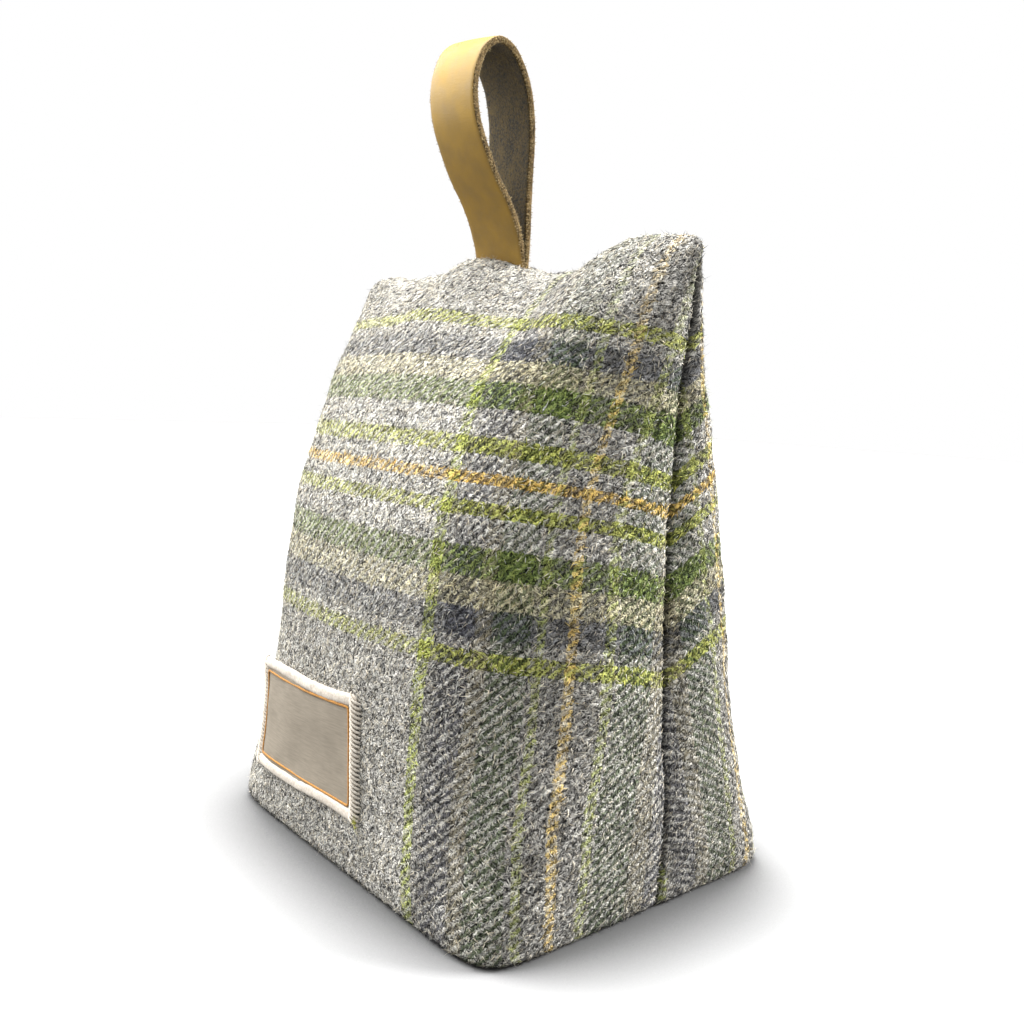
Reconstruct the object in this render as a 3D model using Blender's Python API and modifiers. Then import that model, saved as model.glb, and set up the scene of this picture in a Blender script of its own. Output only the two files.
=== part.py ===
"""Fabric doorstop: a filled tweed wedge on a boxed base, with a leather loop handle and a sewn label.

The body is two tweed panels, front and back, sewn together along the top ridge and down a seam at
each end, over a rectangular base. It is filled, so it is one solid: boxed and nearly square at the
base, lens-shaped halfway up, and thin at the ridge, where the right corner stands up as an ear.

Frame: metres, +Z up, ridge along X, front panel towards -Y, origin on the floor under the middle.
"""
import math

import bmesh
import bpy
import numpy as np
from mathutils import Vector

# Driving sizes, in metres.
RIDGE_HEIGHT = 0.220
BASE_WIDTH = 0.170
BASE_DEPTH = 0.140
RIDGE_AHEAD_OF_BASE_MIDDLE = 0.0025
BASE_EDGE_RADIUS = 0.0035
RIDGE_HALF_THICKNESS = 0.0009
SEAM_GROOVE_DEPTH = 0.0040
SEAM_GROOVE_REACH = 0.0065
STITCH_GAP = 0.0003

# The filled body from the floor to the ridge, a row for each height. Half width is a share of half
# the base's width, each depth is a share of half its depth, and squareness is the power of the
# rounded section: 2 is an oval, and a high power is nearly a rectangle. The seam's set-back is how
# far behind the ridge's plane the two side seams run, as a share of half the base's depth.
BODY_COLUMNS = ("height", "half_width", "front_depth", "back_depth",
                "front_squareness", "back_squareness", "seam_set_back")
BODY_SECTIONS = (
    (0.00, 1.000, 0.940, 1.060, 12.0, 10.0, 0.13),
    (0.15, 1.048, 0.915, 0.950, 5.6, 4.9, 0.11),
    (0.35, 1.040, 0.940, 0.825, 3.2, 3.9, 0.06),
    (0.55, 1.025, 0.885, 0.670, 2.9, 3.8, 0.05),
    (0.75, 1.043, 0.705, 0.440, 2.4, 3.6, 0.03),
    (0.88, 1.080, 0.460, 0.235, 2.2, 2.7, 0.02),
    (0.95, 1.100, 0.255, 0.130, 2.2, 2.5, 0.01),
    (0.985, 1.107, 0.125, 0.070, 2.3, 2.4, 0.00),
    (1.00, 1.108, 0.014, 0.014, 2.4, 2.4, 0.00),
)

# The ridge seen from the front: how high it stands along its length, as shares of the ridge height.
# It is held down beside the strap, and its right end stands up as an ear.
RIDGE_COLUMNS = ("along", "height")
RIDGE_LINE = (
    (-1.00, 0.968),
    (-0.93, 0.984),
    (-0.60, 0.983),
    (-0.33, 0.985),
    (-0.21, 0.9871),
    (0.16, 0.9760),
    (0.30, 0.966),
    (0.42, 0.966),
    (0.53, 0.979),
    (0.64, 0.998),
    (0.78, 1.005),
    (0.93, 1.000),
    (1.00, 0.984),
)

# Hollows and fullness that the filling leaves in the panels: where each is centred along X and up
# from the floor, how wide it is, and how far it stands out of its panel.
SPOT_COLUMNS = ("panel", "x", "z", "radius", "out")
SOFT_SPOTS = (
    ("front", -0.004, 0.209, 0.016, 0.0035),
    ("front", 0.034, 0.196, 0.017, -0.0050),
    ("front", 0.070, 0.196, 0.020, 0.0030),
    ("front", -0.055, 0.190, 0.026, 0.0020),
    ("front", 0.010, 0.120, 0.045, 0.0015),
    ("back", -0.004, 0.207, 0.018, 0.0030),
    ("back", 0.030, 0.190, 0.018, -0.0030),
    ("back", -0.060, 0.185, 0.024, 0.0020),
    ("back", 0.050, 0.110, 0.040, 0.0015),
)

# Where a panel is thinner than this, near the ridge, its hollows and fullness fade out.
SPOT_FULL_DEPTH = 0.012

# The mesh of the body: columns across each panel and rows up it. Columns crowd towards the side
# seams, and rows crowd towards the ridge.
PANEL_COLUMNS = 52
PANEL_ROWS = 22
SEAM_CROWDING = 0.12
RIDGE_CROWDING = 1.35
TRACE_STEPS = 241

# Leather loop handle, sewn into the ridge seam. The loop is one strap doubled over.
STRAP_WIDTH = 0.030
STRAP_THICKNESS = 0.0023
STRAP_MIDDLE_X = -0.0025
STRAP_LEAN_DEGREES = 4.0
STRAP_TURN_DEGREES = -4.0
STRAP_EDGE_BEVEL = 0.0004
STRAP_PATH_STEPS = 56

# The middle of the leather's thickness, from the front leg's sewn end over the top to the back leg's,
# as (across the ridge, up from the ridge).
STRAP_PATH = (
    (-0.0012, 0.0000),
    (-0.0020, 0.0060),
    (-0.0045, 0.0135),
    (-0.0096, 0.0226),
    (-0.0143, 0.0287),
    (-0.0203, 0.0386),
    (-0.0251, 0.0494),
    (-0.0265, 0.0580),
    (-0.0256, 0.0655),
    (-0.0223, 0.0721),
    (-0.0170, 0.0752),
    (-0.0121, 0.0735),
    (-0.0080, 0.0692),
    (-0.0042, 0.0625),
    (-0.0016, 0.0540),
    (-0.0004, 0.0450),
    (0.0000, 0.0340),
    (0.0005, 0.0200),
    (0.0013, 0.0080),
    (0.0018, 0.0000),
)

# The strap is folded a little off square: its left edge makes the taller loop, and its back leg
# swings round behind the front one.
STRAP_SLANT = 0.045
STRAP_SWING = 0.0062

# Label patch and its overlocked edging, on the lower left of the front panel. Both follow the
# panel's curve. "Along" runs round the panel from the middle of its front.
LABEL_LEFT = -0.0635
LABEL_RIGHT = 0.0165
LABEL_BOTTOM = 0.0228
LABEL_TOP = 0.0686
LABEL_BOTTOM_SLOPE = 0.040
LABEL_TOP_SLOPE = 0.085
LABEL_THICKNESS = 0.0010
EDGING_WIDTH = 0.0044
EDGING_THICKNESS = 0.0024
EDGING_CORNER_RADIUS = 0.0026
EDGING_SIDES = 8
EDGING_STATION = 0.0045
EDGING_CORNER_STEPS = 4
LABEL_COLUMNS = 18
LABEL_ROWS = 9


def column(rows, names, name):
    """One named column of a table, as an array."""
    return np.array([row[names.index(name)] for row in rows], dtype=float)


def smooth_between(where, stations, values):
    """A smooth curve through a table's values that never overshoots them."""
    where = np.clip(np.asarray(where, dtype=float), stations[0], stations[-1])
    steps = np.diff(stations)
    slopes = np.diff(values) / steps
    inner = np.where(slopes[:-1] * slopes[1:] > 0.0,
                     2.0 * slopes[:-1] * slopes[1:] / (slopes[:-1] + slopes[1:] + 1e-12), 0.0)
    tangents = np.concatenate([[slopes[0]], inner, [slopes[-1]]])
    index = np.clip(np.searchsorted(stations, where, side="right") - 1, 0, len(steps) - 1)
    part = (where - stations[index]) / steps[index]
    start = (1.0 + 2.0 * part) * (1.0 - part) ** 2 * values[index]
    start_pull = part * (1.0 - part) ** 2 * steps[index] * tangents[index]
    end = part ** 2 * (3.0 - 2.0 * part) * values[index + 1]
    end_pull = part ** 2 * (part - 1.0) * steps[index] * tangents[index + 1]
    return start + start_pull + end + end_pull


def body_value(name, share):
    """A column of the body's table at a share of the ridge's height."""
    return smooth_between(share, column(BODY_SECTIONS, BODY_COLUMNS, "height"),
                          column(BODY_SECTIONS, BODY_COLUMNS, name))


def ridge_factor(along):
    """How much higher or lower the ridge stands at a share of its half length."""
    return np.interp(along, column(RIDGE_LINE, RIDGE_COLUMNS, "along"),
                     column(RIDGE_LINE, RIDGE_COLUMNS, "height"))


def base_inset(height):
    """How far the rounded bottom edge has drawn in at a height above the floor."""
    below = max(0.0, BASE_EDGE_RADIUS - height)
    return BASE_EDGE_RADIUS - math.sqrt(BASE_EDGE_RADIUS ** 2 - below ** 2)


def trace_section(panel, share):
    """Points of one panel at a height, from the left seam round its front to the right seam."""
    outward = -1.0 if panel == "front" else 1.0
    height = share * RIDGE_HEIGHT
    inset = base_inset(height)
    half_width = float(body_value("half_width", share)) * BASE_WIDTH / 2.0 - inset
    depth = float(body_value(panel + "_depth", share)) * BASE_DEPTH / 2.0
    depth = max(depth - inset, RIDGE_HALF_THICKNESS)
    power = 2.0 / float(body_value(panel + "_squareness", share))
    set_back = float(body_value("seam_set_back", share)) * BASE_DEPTH / 2.0
    angle = np.linspace(-math.pi / 2.0, math.pi / 2.0, TRACE_STEPS)
    sideways = np.sign(np.sin(angle)) * np.abs(np.sin(angle)) ** power
    forwards = np.abs(np.cos(angle)) ** power
    x = half_width * sideways
    y = outward * depth * forwards + set_back * (1.0 - forwards)
    rise = ridge_factor(sideways) - 1.0
    z = height * (1.0 + rise * share ** 3)
    for row in SOFT_SPOTS:
        spot = dict(zip(SPOT_COLUMNS, row))
        if spot["panel"] != panel:
            continue
        away = ((x - spot["x"]) ** 2 + (z - spot["z"]) ** 2) / spot["radius"] ** 2
        y = y + outward * spot["out"] * np.exp(-away) * min(1.0, depth / SPOT_FULL_DEPTH)
    return np.stack([x, y - RIDGE_AHEAD_OF_BASE_MIDDLE, z], axis=-1)


def lengths_along(points):
    """How far round the section each point lies from its first one."""
    return np.concatenate([[0.0], np.cumsum(np.linalg.norm(np.diff(points, axis=0), axis=1))])


def seam_pull(share):
    """How deep the side seams draw in at a height: nothing at the base and at the ridge."""
    if share <= 0.0 or share >= 1.0:
        return 0.0
    return SEAM_GROOVE_DEPTH * math.sqrt(math.sin(math.pi * share))


def panel_row(panel, share):
    """One row of a panel's mesh points, drawn in where the side seams pull the cloth."""
    points = trace_section(panel, share)
    length = lengths_along(points)
    spread = np.linspace(-1.0, 1.0, PANEL_COLUMNS + 1)
    spread = spread * (1.0 + SEAM_CROWDING * (1.0 - spread ** 2))
    wanted = (spread + 1.0) / 2.0 * length[-1]
    row = np.stack([np.interp(wanted, length, points[:, axis]) for axis in range(3)], axis=-1)
    from_seam = np.minimum(wanted, length[-1] - wanted)
    pull = seam_pull(share) * np.exp(-(from_seam / SEAM_GROOVE_REACH) ** 2)
    row[:, 0] -= np.sign(row[:, 0]) * pull
    return row


def panel_point(along, height):
    """A point of the front panel, by its distance round from the middle and its height."""
    share = height / RIDGE_HEIGHT
    points = trace_section("front", share)
    length = lengths_along(points)
    wanted = length[-1] / 2.0 + along
    return Vector([float(np.interp(wanted, length, points[:, axis])) for axis in range(3)])


def panel_frame(along, height):
    """The front panel's point, its direction round, its direction up, and its outward direction."""
    step = 0.002
    here = panel_point(along, height)
    across = (panel_point(along + step, height) - panel_point(along - step, height)).normalized()
    upward = (panel_point(along, height + step) - panel_point(along, height - step)).normalized()
    outward = across.cross(upward).normalized()
    return here, across, upward, outward


def plain_material(name, colour, roughness):
    """A maker's plain material: one colour with its own roughness."""
    material = bpy.data.materials.new(name)
    material.use_nodes = True
    shader = material.node_tree.nodes["Principled BSDF"]
    shader.inputs["Base Color"].default_value = (*colour, 1.0)
    shader.inputs["Roughness"].default_value = roughness
    shader.inputs["Metallic"].default_value = 0.0
    material.diffuse_color = (*colour, 1.0)
    return material


def add_mesh_object(name, mesh_data, collection, material):
    """An object for one sub-part, in the doorstop's collection."""
    made = bpy.data.objects.new(name, mesh_data)
    made.data.materials.append(material)
    collection.objects.link(made)
    return made


def mesh_from_bmesh(name, made):
    """A mesh from a bmesh, smooth but for its sharp edges."""
    bmesh.ops.recalc_face_normals(made, faces=made.faces)
    mesh = bpy.data.meshes.new(name)
    made.to_mesh(mesh)
    made.free()
    mesh.shade_smooth()
    mesh.set_sharp_from_angle(angle=math.radians(50.0))
    return mesh


def build_body(collection):
    """The filled tweed body: the two panels lofted from the base to the ridge, closed top and bottom."""
    low_shares = [0.0, 0.3 * BASE_EDGE_RADIUS / RIDGE_HEIGHT, BASE_EDGE_RADIUS / RIDGE_HEIGHT]
    spread = np.linspace(0.0, 1.0, PANEL_ROWS + 1)[1:]
    rising = 1.0 - (1.0 - spread) ** RIDGE_CROWDING
    shares = low_shares + [float(low_shares[-1] + (1.0 - low_shares[-1]) * value) for value in rising]
    made = bmesh.new()
    rings = []
    for share in shares:
        front = panel_row("front", share)
        back = panel_row("back", share)
        seams = (front[[0, -1]] + back[[0, -1]]) / 2.0
        loop = [seams[0], *front[1:-1], seams[1], *back[-2:0:-1]]
        rings.append([made.verts.new([float(value) for value in point]) for point in loop])
    for low, high in zip(rings, rings[1:]):
        for here in range(len(low)):
            after = (here + 1) % len(low)
            made.faces.new((low[here], low[after], high[after], high[here]))
    made.faces.new(rings[0][::-1])
    top = rings[-1]
    for here in range(PANEL_COLUMNS):
        front_pair = (top[here], top[here + 1])
        back_pair = (top[-here - 1] if here + 1 < PANEL_COLUMNS else None, top[-here] if here else None)
        made.faces.new([vert for vert in (*front_pair, *back_pair) if vert is not None])
    mesh = mesh_from_bmesh("tweed_body", made)
    tweed = plain_material("heathered grey tweed", (0.36, 0.36, 0.35), 0.95)
    return add_mesh_object("tweed_body", mesh, collection, tweed)


def smooth_path(points, steps):
    """A smooth curve through points chosen by hand, evenly stepped along its length."""
    points = np.array(points, dtype=float)
    length = lengths_along(points)
    tangents = np.gradient(points, length, axis=0)
    wanted = np.linspace(0.0, length[-1], 8 * steps + 1)
    index = np.clip(np.searchsorted(length, wanted, side="right") - 1, 0, len(length) - 2)
    gap = (length[index + 1] - length[index])[:, None]
    part = (wanted - length[index])[:, None] / gap
    curve = ((1.0 + 2.0 * part) * (1.0 - part) ** 2 * points[index]
             + part * (1.0 - part) ** 2 * gap * tangents[index]
             + part ** 2 * (3.0 - 2.0 * part) * points[index + 1]
             + part ** 2 * (part - 1.0) * gap * tangents[index + 1])
    curve_length = lengths_along(curve)
    even = np.linspace(0.0, curve_length[-1], steps + 1)
    return np.stack([np.interp(even, curve_length, curve[:, axis]) for axis in range(2)], axis=-1)


def strap_edge(path, side):
    """One edge of the strap: its path, slanted and swung to that side."""
    length = lengths_along(path)
    share = length / length[-1]
    swing = STRAP_SWING * np.sin(math.pi * share) * share ** 2
    return np.stack([path[:, 0] - side * swing, path[:, 1] * (1.0 - side * STRAP_SLANT)], axis=-1)


def build_strap(collection):
    """The leather loop: a ribbon along the strap's path, given its thickness and softened edges."""
    path = smooth_path(STRAP_PATH, STRAP_PATH_STEPS)
    made = bmesh.new()
    edge_rows = []
    for side in (-0.5, 0.5):
        edge_rows.append([made.verts.new((side * STRAP_WIDTH, across, up))
                          for across, up in strap_edge(path, side)])
    left, right = edge_rows
    for here in range(len(path) - 1):
        made.faces.new((left[here], right[here], right[here + 1], left[here + 1]))
    mesh = bpy.data.meshes.new("handle_strap")
    made.to_mesh(mesh)
    made.free()
    leather = plain_material("veg tanned leather", (0.46, 0.31, 0.11), 0.55)
    strap = add_mesh_object("handle_strap", mesh, collection, leather)
    thickness = strap.modifiers.new("Leather thickness", "SOLIDIFY")
    thickness.thickness = STRAP_THICKNESS
    thickness.offset = 0.0
    thickness.use_even_offset = True
    softened = strap.modifiers.new("Softened edges", "BEVEL")
    softened.width = STRAP_EDGE_BEVEL
    softened.segments = 1
    softened.limit_method = "ANGLE"
    softened.angle_limit = math.radians(60.0)
    share = STRAP_MIDDLE_X / (body_value("half_width", 1.0) * BASE_WIDTH / 2.0)
    seat = RIDGE_HEIGHT * float(ridge_factor(share)) + STITCH_GAP
    strap.location = (STRAP_MIDDLE_X, -RIDGE_AHEAD_OF_BASE_MIDDLE, seat)
    strap.rotation_euler = (0.0, math.radians(STRAP_LEAN_DEGREES), math.radians(STRAP_TURN_DEGREES))
    return strap


def label_height(along, height):
    """The label is sewn on a little askew: both its long edges rise towards its right end."""
    share = (height - LABEL_BOTTOM) / (LABEL_TOP - LABEL_BOTTOM)
    slope = LABEL_BOTTOM_SLOPE + share * (LABEL_TOP_SLOPE - LABEL_BOTTOM_SLOPE)
    return height + slope * (along - LABEL_RIGHT)


def build_label(collection):
    """The cloth patch: a thin sheet laid on the front panel, with its thickness outwards."""
    left = LABEL_LEFT + EDGING_WIDTH + STITCH_GAP
    right = LABEL_RIGHT - EDGING_WIDTH - STITCH_GAP
    bottom = LABEL_BOTTOM + EDGING_WIDTH + STITCH_GAP
    top = LABEL_TOP - EDGING_WIDTH - STITCH_GAP
    made = bmesh.new()
    layers = []
    for lift in (STITCH_GAP, STITCH_GAP + LABEL_THICKNESS):
        layer = []
        for height in np.linspace(bottom, top, LABEL_ROWS + 1):
            line = []
            for along in np.linspace(left, right, LABEL_COLUMNS + 1):
                here, _, _, outward = panel_frame(along, label_height(along, height))
                line.append(made.verts.new(here + outward * lift))
            layer.append(line)
        layers.append(layer)
    under, over = layers
    for row in range(LABEL_ROWS):
        for spot in range(LABEL_COLUMNS):
            for layer in layers:
                made.faces.new((layer[row][spot], layer[row][spot + 1],
                                layer[row + 1][spot + 1], layer[row + 1][spot]))
    for row in range(LABEL_ROWS):
        for spot in (0, LABEL_COLUMNS):
            made.faces.new((under[row][spot], under[row + 1][spot], over[row + 1][spot], over[row][spot]))
    for spot in range(LABEL_COLUMNS):
        for row in (0, LABEL_ROWS):
            made.faces.new((under[row][spot], under[row][spot + 1], over[row][spot + 1], over[row][spot]))
    mesh = mesh_from_bmesh("label_patch", made)
    cloth = plain_material("pale label cloth", (0.62, 0.58, 0.50), 0.9)
    return add_mesh_object("label_patch", mesh, collection, cloth)


def rounded_rectangle(left, right, bottom, top, radius):
    """Stations round a rectangle with rounded corners: each a point and its outward direction."""
    corners = ((right, top, 0.0), (left, top, 90.0), (left, bottom, 180.0), (right, bottom, 270.0))
    stations = []
    for number, (x, z, start) in enumerate(corners):
        centre = (x - math.copysign(radius, x - (left + right) / 2.0),
                  z - math.copysign(radius, z - (bottom + top) / 2.0))
        for step in range(EDGING_CORNER_STEPS + 1):
            angle = math.radians(start + 90.0 * step / EDGING_CORNER_STEPS)
            way = (math.cos(angle), math.sin(angle))
            stations.append((centre[0] + radius * way[0], centre[1] + radius * way[1], way))
        after = corners[(number + 1) % 4]
        run = abs(after[0] - x) + abs(after[1] - z) - 2.0 * radius
        count = max(1, round(run / EDGING_STATION))
        travel = (-way[1], way[0])
        last = stations[-1]
        for step in range(1, count):
            reach = run * step / count
            stations.append((last[0] + travel[0] * reach, last[1] + travel[1] * reach, way))
    return stations


def build_edging(collection):
    """The overlocked edging: a flat-backed band of thread round the patch, lofted along its rim."""
    half = EDGING_WIDTH / 2.0
    stations = rounded_rectangle(LABEL_LEFT + half, LABEL_RIGHT - half, LABEL_BOTTOM + half,
                                 LABEL_TOP - half, EDGING_CORNER_RADIUS)
    made = bmesh.new()
    rings = []
    for along, height, way in stations:
        ring = []
        for side in range(EDGING_SIDES):
            angle = 2.0 * math.pi * (side + 0.5) / EDGING_SIDES
            wide = half * math.copysign(abs(math.cos(angle)) ** 0.8, math.cos(angle))
            thick = EDGING_THICKNESS / 2.0 * math.copysign(abs(math.sin(angle)) ** 0.8, math.sin(angle))
            spot = along + way[0] * wide
            rise = height + way[1] * wide
            here, _, _, outward = panel_frame(spot, label_height(spot, rise))
            ring.append(made.verts.new(here + outward * (STITCH_GAP + EDGING_THICKNESS / 2.0 + thick)))
        rings.append(ring)
    for number, ring in enumerate(rings):
        following = rings[(number + 1) % len(rings)]
        for side in range(EDGING_SIDES):
            after = (side + 1) % EDGING_SIDES
            made.faces.new((ring[side], ring[after], following[after], following[side]))
    mesh = mesh_from_bmesh("label_edging", made)
    thread = plain_material("cream overlock thread", (0.80, 0.74, 0.62), 0.8)
    return add_mesh_object("label_edging", mesh, collection, thread)


for old in list(bpy.data.objects):
    bpy.data.objects.remove(old, do_unlink=True)

doorstop = bpy.data.collections.new("fabric doorstop")
bpy.context.scene.collection.children.link(doorstop)
build_body(doorstop)
build_strap(doorstop)
build_label(doorstop)
build_edging(doorstop)
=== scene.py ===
import math

import bmesh
import bpy
import numpy as np
from mathutils import Matrix, Vector, noise
from mathutils.bvhtree import BVHTree


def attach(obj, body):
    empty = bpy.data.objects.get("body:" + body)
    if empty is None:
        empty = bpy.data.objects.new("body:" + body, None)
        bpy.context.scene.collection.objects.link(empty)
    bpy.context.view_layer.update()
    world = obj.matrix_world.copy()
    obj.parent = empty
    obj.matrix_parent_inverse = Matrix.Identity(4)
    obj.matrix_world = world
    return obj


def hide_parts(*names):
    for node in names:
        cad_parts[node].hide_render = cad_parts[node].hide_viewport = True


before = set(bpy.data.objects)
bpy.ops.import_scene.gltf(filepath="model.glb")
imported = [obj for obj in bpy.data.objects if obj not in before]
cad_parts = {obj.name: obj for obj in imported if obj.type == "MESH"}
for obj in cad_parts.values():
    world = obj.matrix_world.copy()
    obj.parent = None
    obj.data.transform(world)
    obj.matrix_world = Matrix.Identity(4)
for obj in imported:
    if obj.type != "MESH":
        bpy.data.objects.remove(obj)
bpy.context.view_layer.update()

# Camera: a hand-held view from the front right and a little above, close enough for the base to
# spread and the ridge to slope. It is tipped a little sideways, as the photograph is.
VIEW_AZIMUTH = math.radians(50.10)
VIEW_ELEVATION = math.radians(6.563)
VIEW_ROLL = math.radians(2.631)
VIEW_DISTANCE = 0.3648
VIEW_TARGET = Vector((0.0099, -0.0025, 0.1261))
VIEW_LENS = 34.23

camera_data = bpy.data.cameras.new("Photograph view")
camera_data.lens = VIEW_LENS
camera_data.sensor_width = 36.0
camera_data.clip_start = 0.02
camera = bpy.data.objects.new("Photograph view", camera_data)
view_back = Vector((math.sin(VIEW_AZIMUTH) * math.cos(VIEW_ELEVATION),
                    -math.cos(VIEW_AZIMUTH) * math.cos(VIEW_ELEVATION),
                    math.sin(VIEW_ELEVATION)))
view_right = Vector((math.cos(VIEW_AZIMUTH), math.sin(VIEW_AZIMUTH), 0.0))
view_up = view_back.cross(view_right)
tipped_right = math.cos(VIEW_ROLL) * view_right + math.sin(VIEW_ROLL) * view_up
tipped_up = math.cos(VIEW_ROLL) * view_up - math.sin(VIEW_ROLL) * view_right
turned = Matrix((tipped_right, tipped_up, view_back)).transposed().to_4x4()
camera.matrix_world = Matrix.Translation(VIEW_TARGET + view_back * VIEW_DISTANCE) @ turned
bpy.context.scene.collection.objects.link(camera)
bpy.context.scene.camera = camera


# Tweed body: a front and a back panel of fulled wool twill, sewn together along the ridge and down
# a seam at each end, turned right side out and filled over a boxed base. The filling crowns the
# panels, the side seams draw in, and the ridge's two corners stand up as ears.
RIDGE_HEIGHT = 0.220
BASE_WIDTH = 0.170
BASE_DEPTH = 0.140
RIDGE_AHEAD_OF_BASE_MIDDLE = 0.0025
BASE_EDGE_RADIUS = 0.0030
RIDGE_HALF_THICKNESS = 0.0012
SEAM_GROOVE_DEPTH = 0.0030
SEAM_GROOVE_REACH = 0.0056

# A row for each height, all as shares: the height of the ridge's, the width of half the base's width,
# the depths and the seam's set-back of half its depth. Squareness is the power of the rounded section.
BODY_COLUMNS = ("height", "half_width", "front_depth", "back_depth",
                "front_squareness", "back_squareness", "seam_set_back")
BODY_SECTIONS = (
    (0.00, 1.000, 0.940, 1.060, 12.0, 10.0, 0.13),
    (0.15, 1.048, 0.915, 0.950, 5.6, 4.9, 0.11),
    (0.35, 1.040, 0.940, 0.825, 3.2, 3.9, 0.06),
    (0.55, 1.025, 0.885, 0.670, 2.9, 3.8, 0.05),
    (0.75, 1.043, 0.705, 0.440, 2.4, 3.6, 0.03),
    (0.88, 1.080, 0.460, 0.235, 2.2, 2.7, 0.02),
    (0.95, 1.100, 0.255, 0.130, 2.2, 2.5, 0.01),
    (0.985, 1.107, 0.125, 0.070, 2.3, 2.4, 0.00),
    (1.00, 1.108, 0.018, 0.018, 2.4, 2.4, 0.00),
)

# The ridge from the front, as shares of its half length and of its height. The cloth is bunched up
# round the strap's foot, sinks beside it, and stands up as an ear at each end.
RIDGE_COLUMNS = ("along", "height")
RIDGE_LINE = (
    (-1.00, 0.964),
    (-0.96, 0.980),
    (-0.92, 0.985),
    (-0.76, 0.985),
    (-0.60, 0.979),
    (-0.40, 0.980),
    (-0.31, 0.984),
    (-0.24, 0.990),
    (-0.19, 1.000),
    (-0.04, 0.997),
    (0.08, 0.985),
    (0.15, 0.975),
    (0.21, 0.968),
    (0.30, 0.964),
    (0.42, 0.964),
    (0.48, 0.969),
    (0.53, 0.978),
    (0.58, 0.990),
    (0.64, 0.999),
    (0.71, 1.004),
    (0.89, 1.000),
    (0.96, 0.995),
    (0.99, 0.986),
    (1.00, 0.968),
)

# Hollows and fullness that the filling leaves: the panel, where each is centred along X and up from
# the floor, how wide it is, and how far it stands out.
SPOT_COLUMNS = ("panel", "x", "z", "radius", "out")
SOFT_SPOTS = (
    ("front", -0.004, 0.209, 0.016, 0.0035),
    ("front", 0.034, 0.196, 0.017, -0.0050),
    ("front", 0.070, 0.196, 0.020, 0.0030),
    ("front", -0.055, 0.190, 0.026, 0.0020),
    ("front", 0.010, 0.120, 0.045, 0.0015),
    ("back", -0.004, 0.207, 0.018, 0.0030),
    ("back", 0.030, 0.190, 0.018, -0.0030),
    ("back", -0.060, 0.185, 0.024, 0.0020),
    ("back", 0.050, 0.110, 0.040, 0.0015),
)
SPOT_FULL_DEPTH = 0.012

# How quickly the ridge's ups and downs fade below it: a power of the share of its height.
RIDGE_LINE_REACH = 6.0

# The cage that is filled, before its cloth is made fine.
CAGE_COLUMNS = 58
CAGE_ROWS = 48
SEAM_CROWDING = 0.30
RIDGE_CROWDING = 1.35
FIRST_ROW_UP_EDGE = 0.3
TRACE_STEPS = 361
FINE_LEVELS = 2

CHECK_MIDDLE_ROUND = 0.0915
CHECK_MIDDLE_UP = 0.1456
UPPER_EASE = 1.06
CHECK_STRAIGHTENED = 0.55

# The cloth was cut and filled a little off the grain. A row for each height up the cloth: how far the
# lime warp and the orange warp stray sideways, and how the wefts droop towards the right-hand seam.
# Past the orange warp the filling stretches the cloth, so its bars come further apart there.
LAY_COLUMNS = ("up", "lime_warp", "orange_warp", "droop", "droop_power")
CLOTH_LAY = (
    (0.000, -0.0010, -0.0085, 0.0100, 6.0),
    (0.022, 0.0007, -0.0050, 0.0100, 5.6),
    (0.040, 0.0016, -0.0018, 0.0102, 5.3),
    (0.070, 0.0000, -0.0017, 0.0104, 5.0),
    (0.100, -0.0020, -0.0012, 0.0106, 4.5),
    (0.125, -0.0012, 0.0008, 0.0110, 4.0),
    (0.150, 0.0004, 0.0022, 0.0114, 3.2),
    (0.180, 0.0040, 0.0016, 0.0114, 2.2),
    (0.200, 0.0075, 0.0022, 0.0114, 1.4),
    (0.235, 0.0105, 0.0044, 0.0114, 1.3),
)
LIME_WARP_ROUND = 0.0442
STRETCHED_PAST_ORANGE = 0.27
LEFT_DROOP_POWER = 6.0
BACK_DROOP = 0.0174
BACK_RISE = 0.0070
BACK_DROOP_POWER = 6.5


def column(rows, names, name):
    """One named column of a table, as an array."""
    return np.array([row[names.index(name)] for row in rows], dtype=float)


def smooth_between(where, stations, values):
    """A smooth curve through a table's values that never overshoots them."""
    where = np.clip(np.asarray(where, dtype=float), stations[0], stations[-1])
    steps = np.diff(stations)
    slopes = np.diff(values) / steps
    inner = np.where(slopes[:-1] * slopes[1:] > 0.0,
                     2.0 * slopes[:-1] * slopes[1:] / (slopes[:-1] + slopes[1:] + 1e-12), 0.0)
    tangents = np.concatenate([[slopes[0]], inner, [slopes[-1]]])
    index = np.clip(np.searchsorted(stations, where, side="right") - 1, 0, len(steps) - 1)
    part = (where - stations[index]) / steps[index]
    start = (1.0 + 2.0 * part) * (1.0 - part) ** 2 * values[index]
    start_pull = part * (1.0 - part) ** 2 * steps[index] * tangents[index]
    end = part ** 2 * (3.0 - 2.0 * part) * values[index + 1]
    end_pull = part ** 2 * (part - 1.0) * steps[index] * tangents[index + 1]
    return start + start_pull + end + end_pull


def body_value(name, share):
    """A column of the body's table at a share of the ridge's height."""
    return smooth_between(share, column(BODY_SECTIONS, BODY_COLUMNS, "height"),
                          column(BODY_SECTIONS, BODY_COLUMNS, name))


def ridge_factor(along):
    """How much higher or lower the ridge stands at a share of its half length."""
    return smooth_between(along, column(RIDGE_LINE, RIDGE_COLUMNS, "along"),
                          column(RIDGE_LINE, RIDGE_COLUMNS, "height"))


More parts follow.
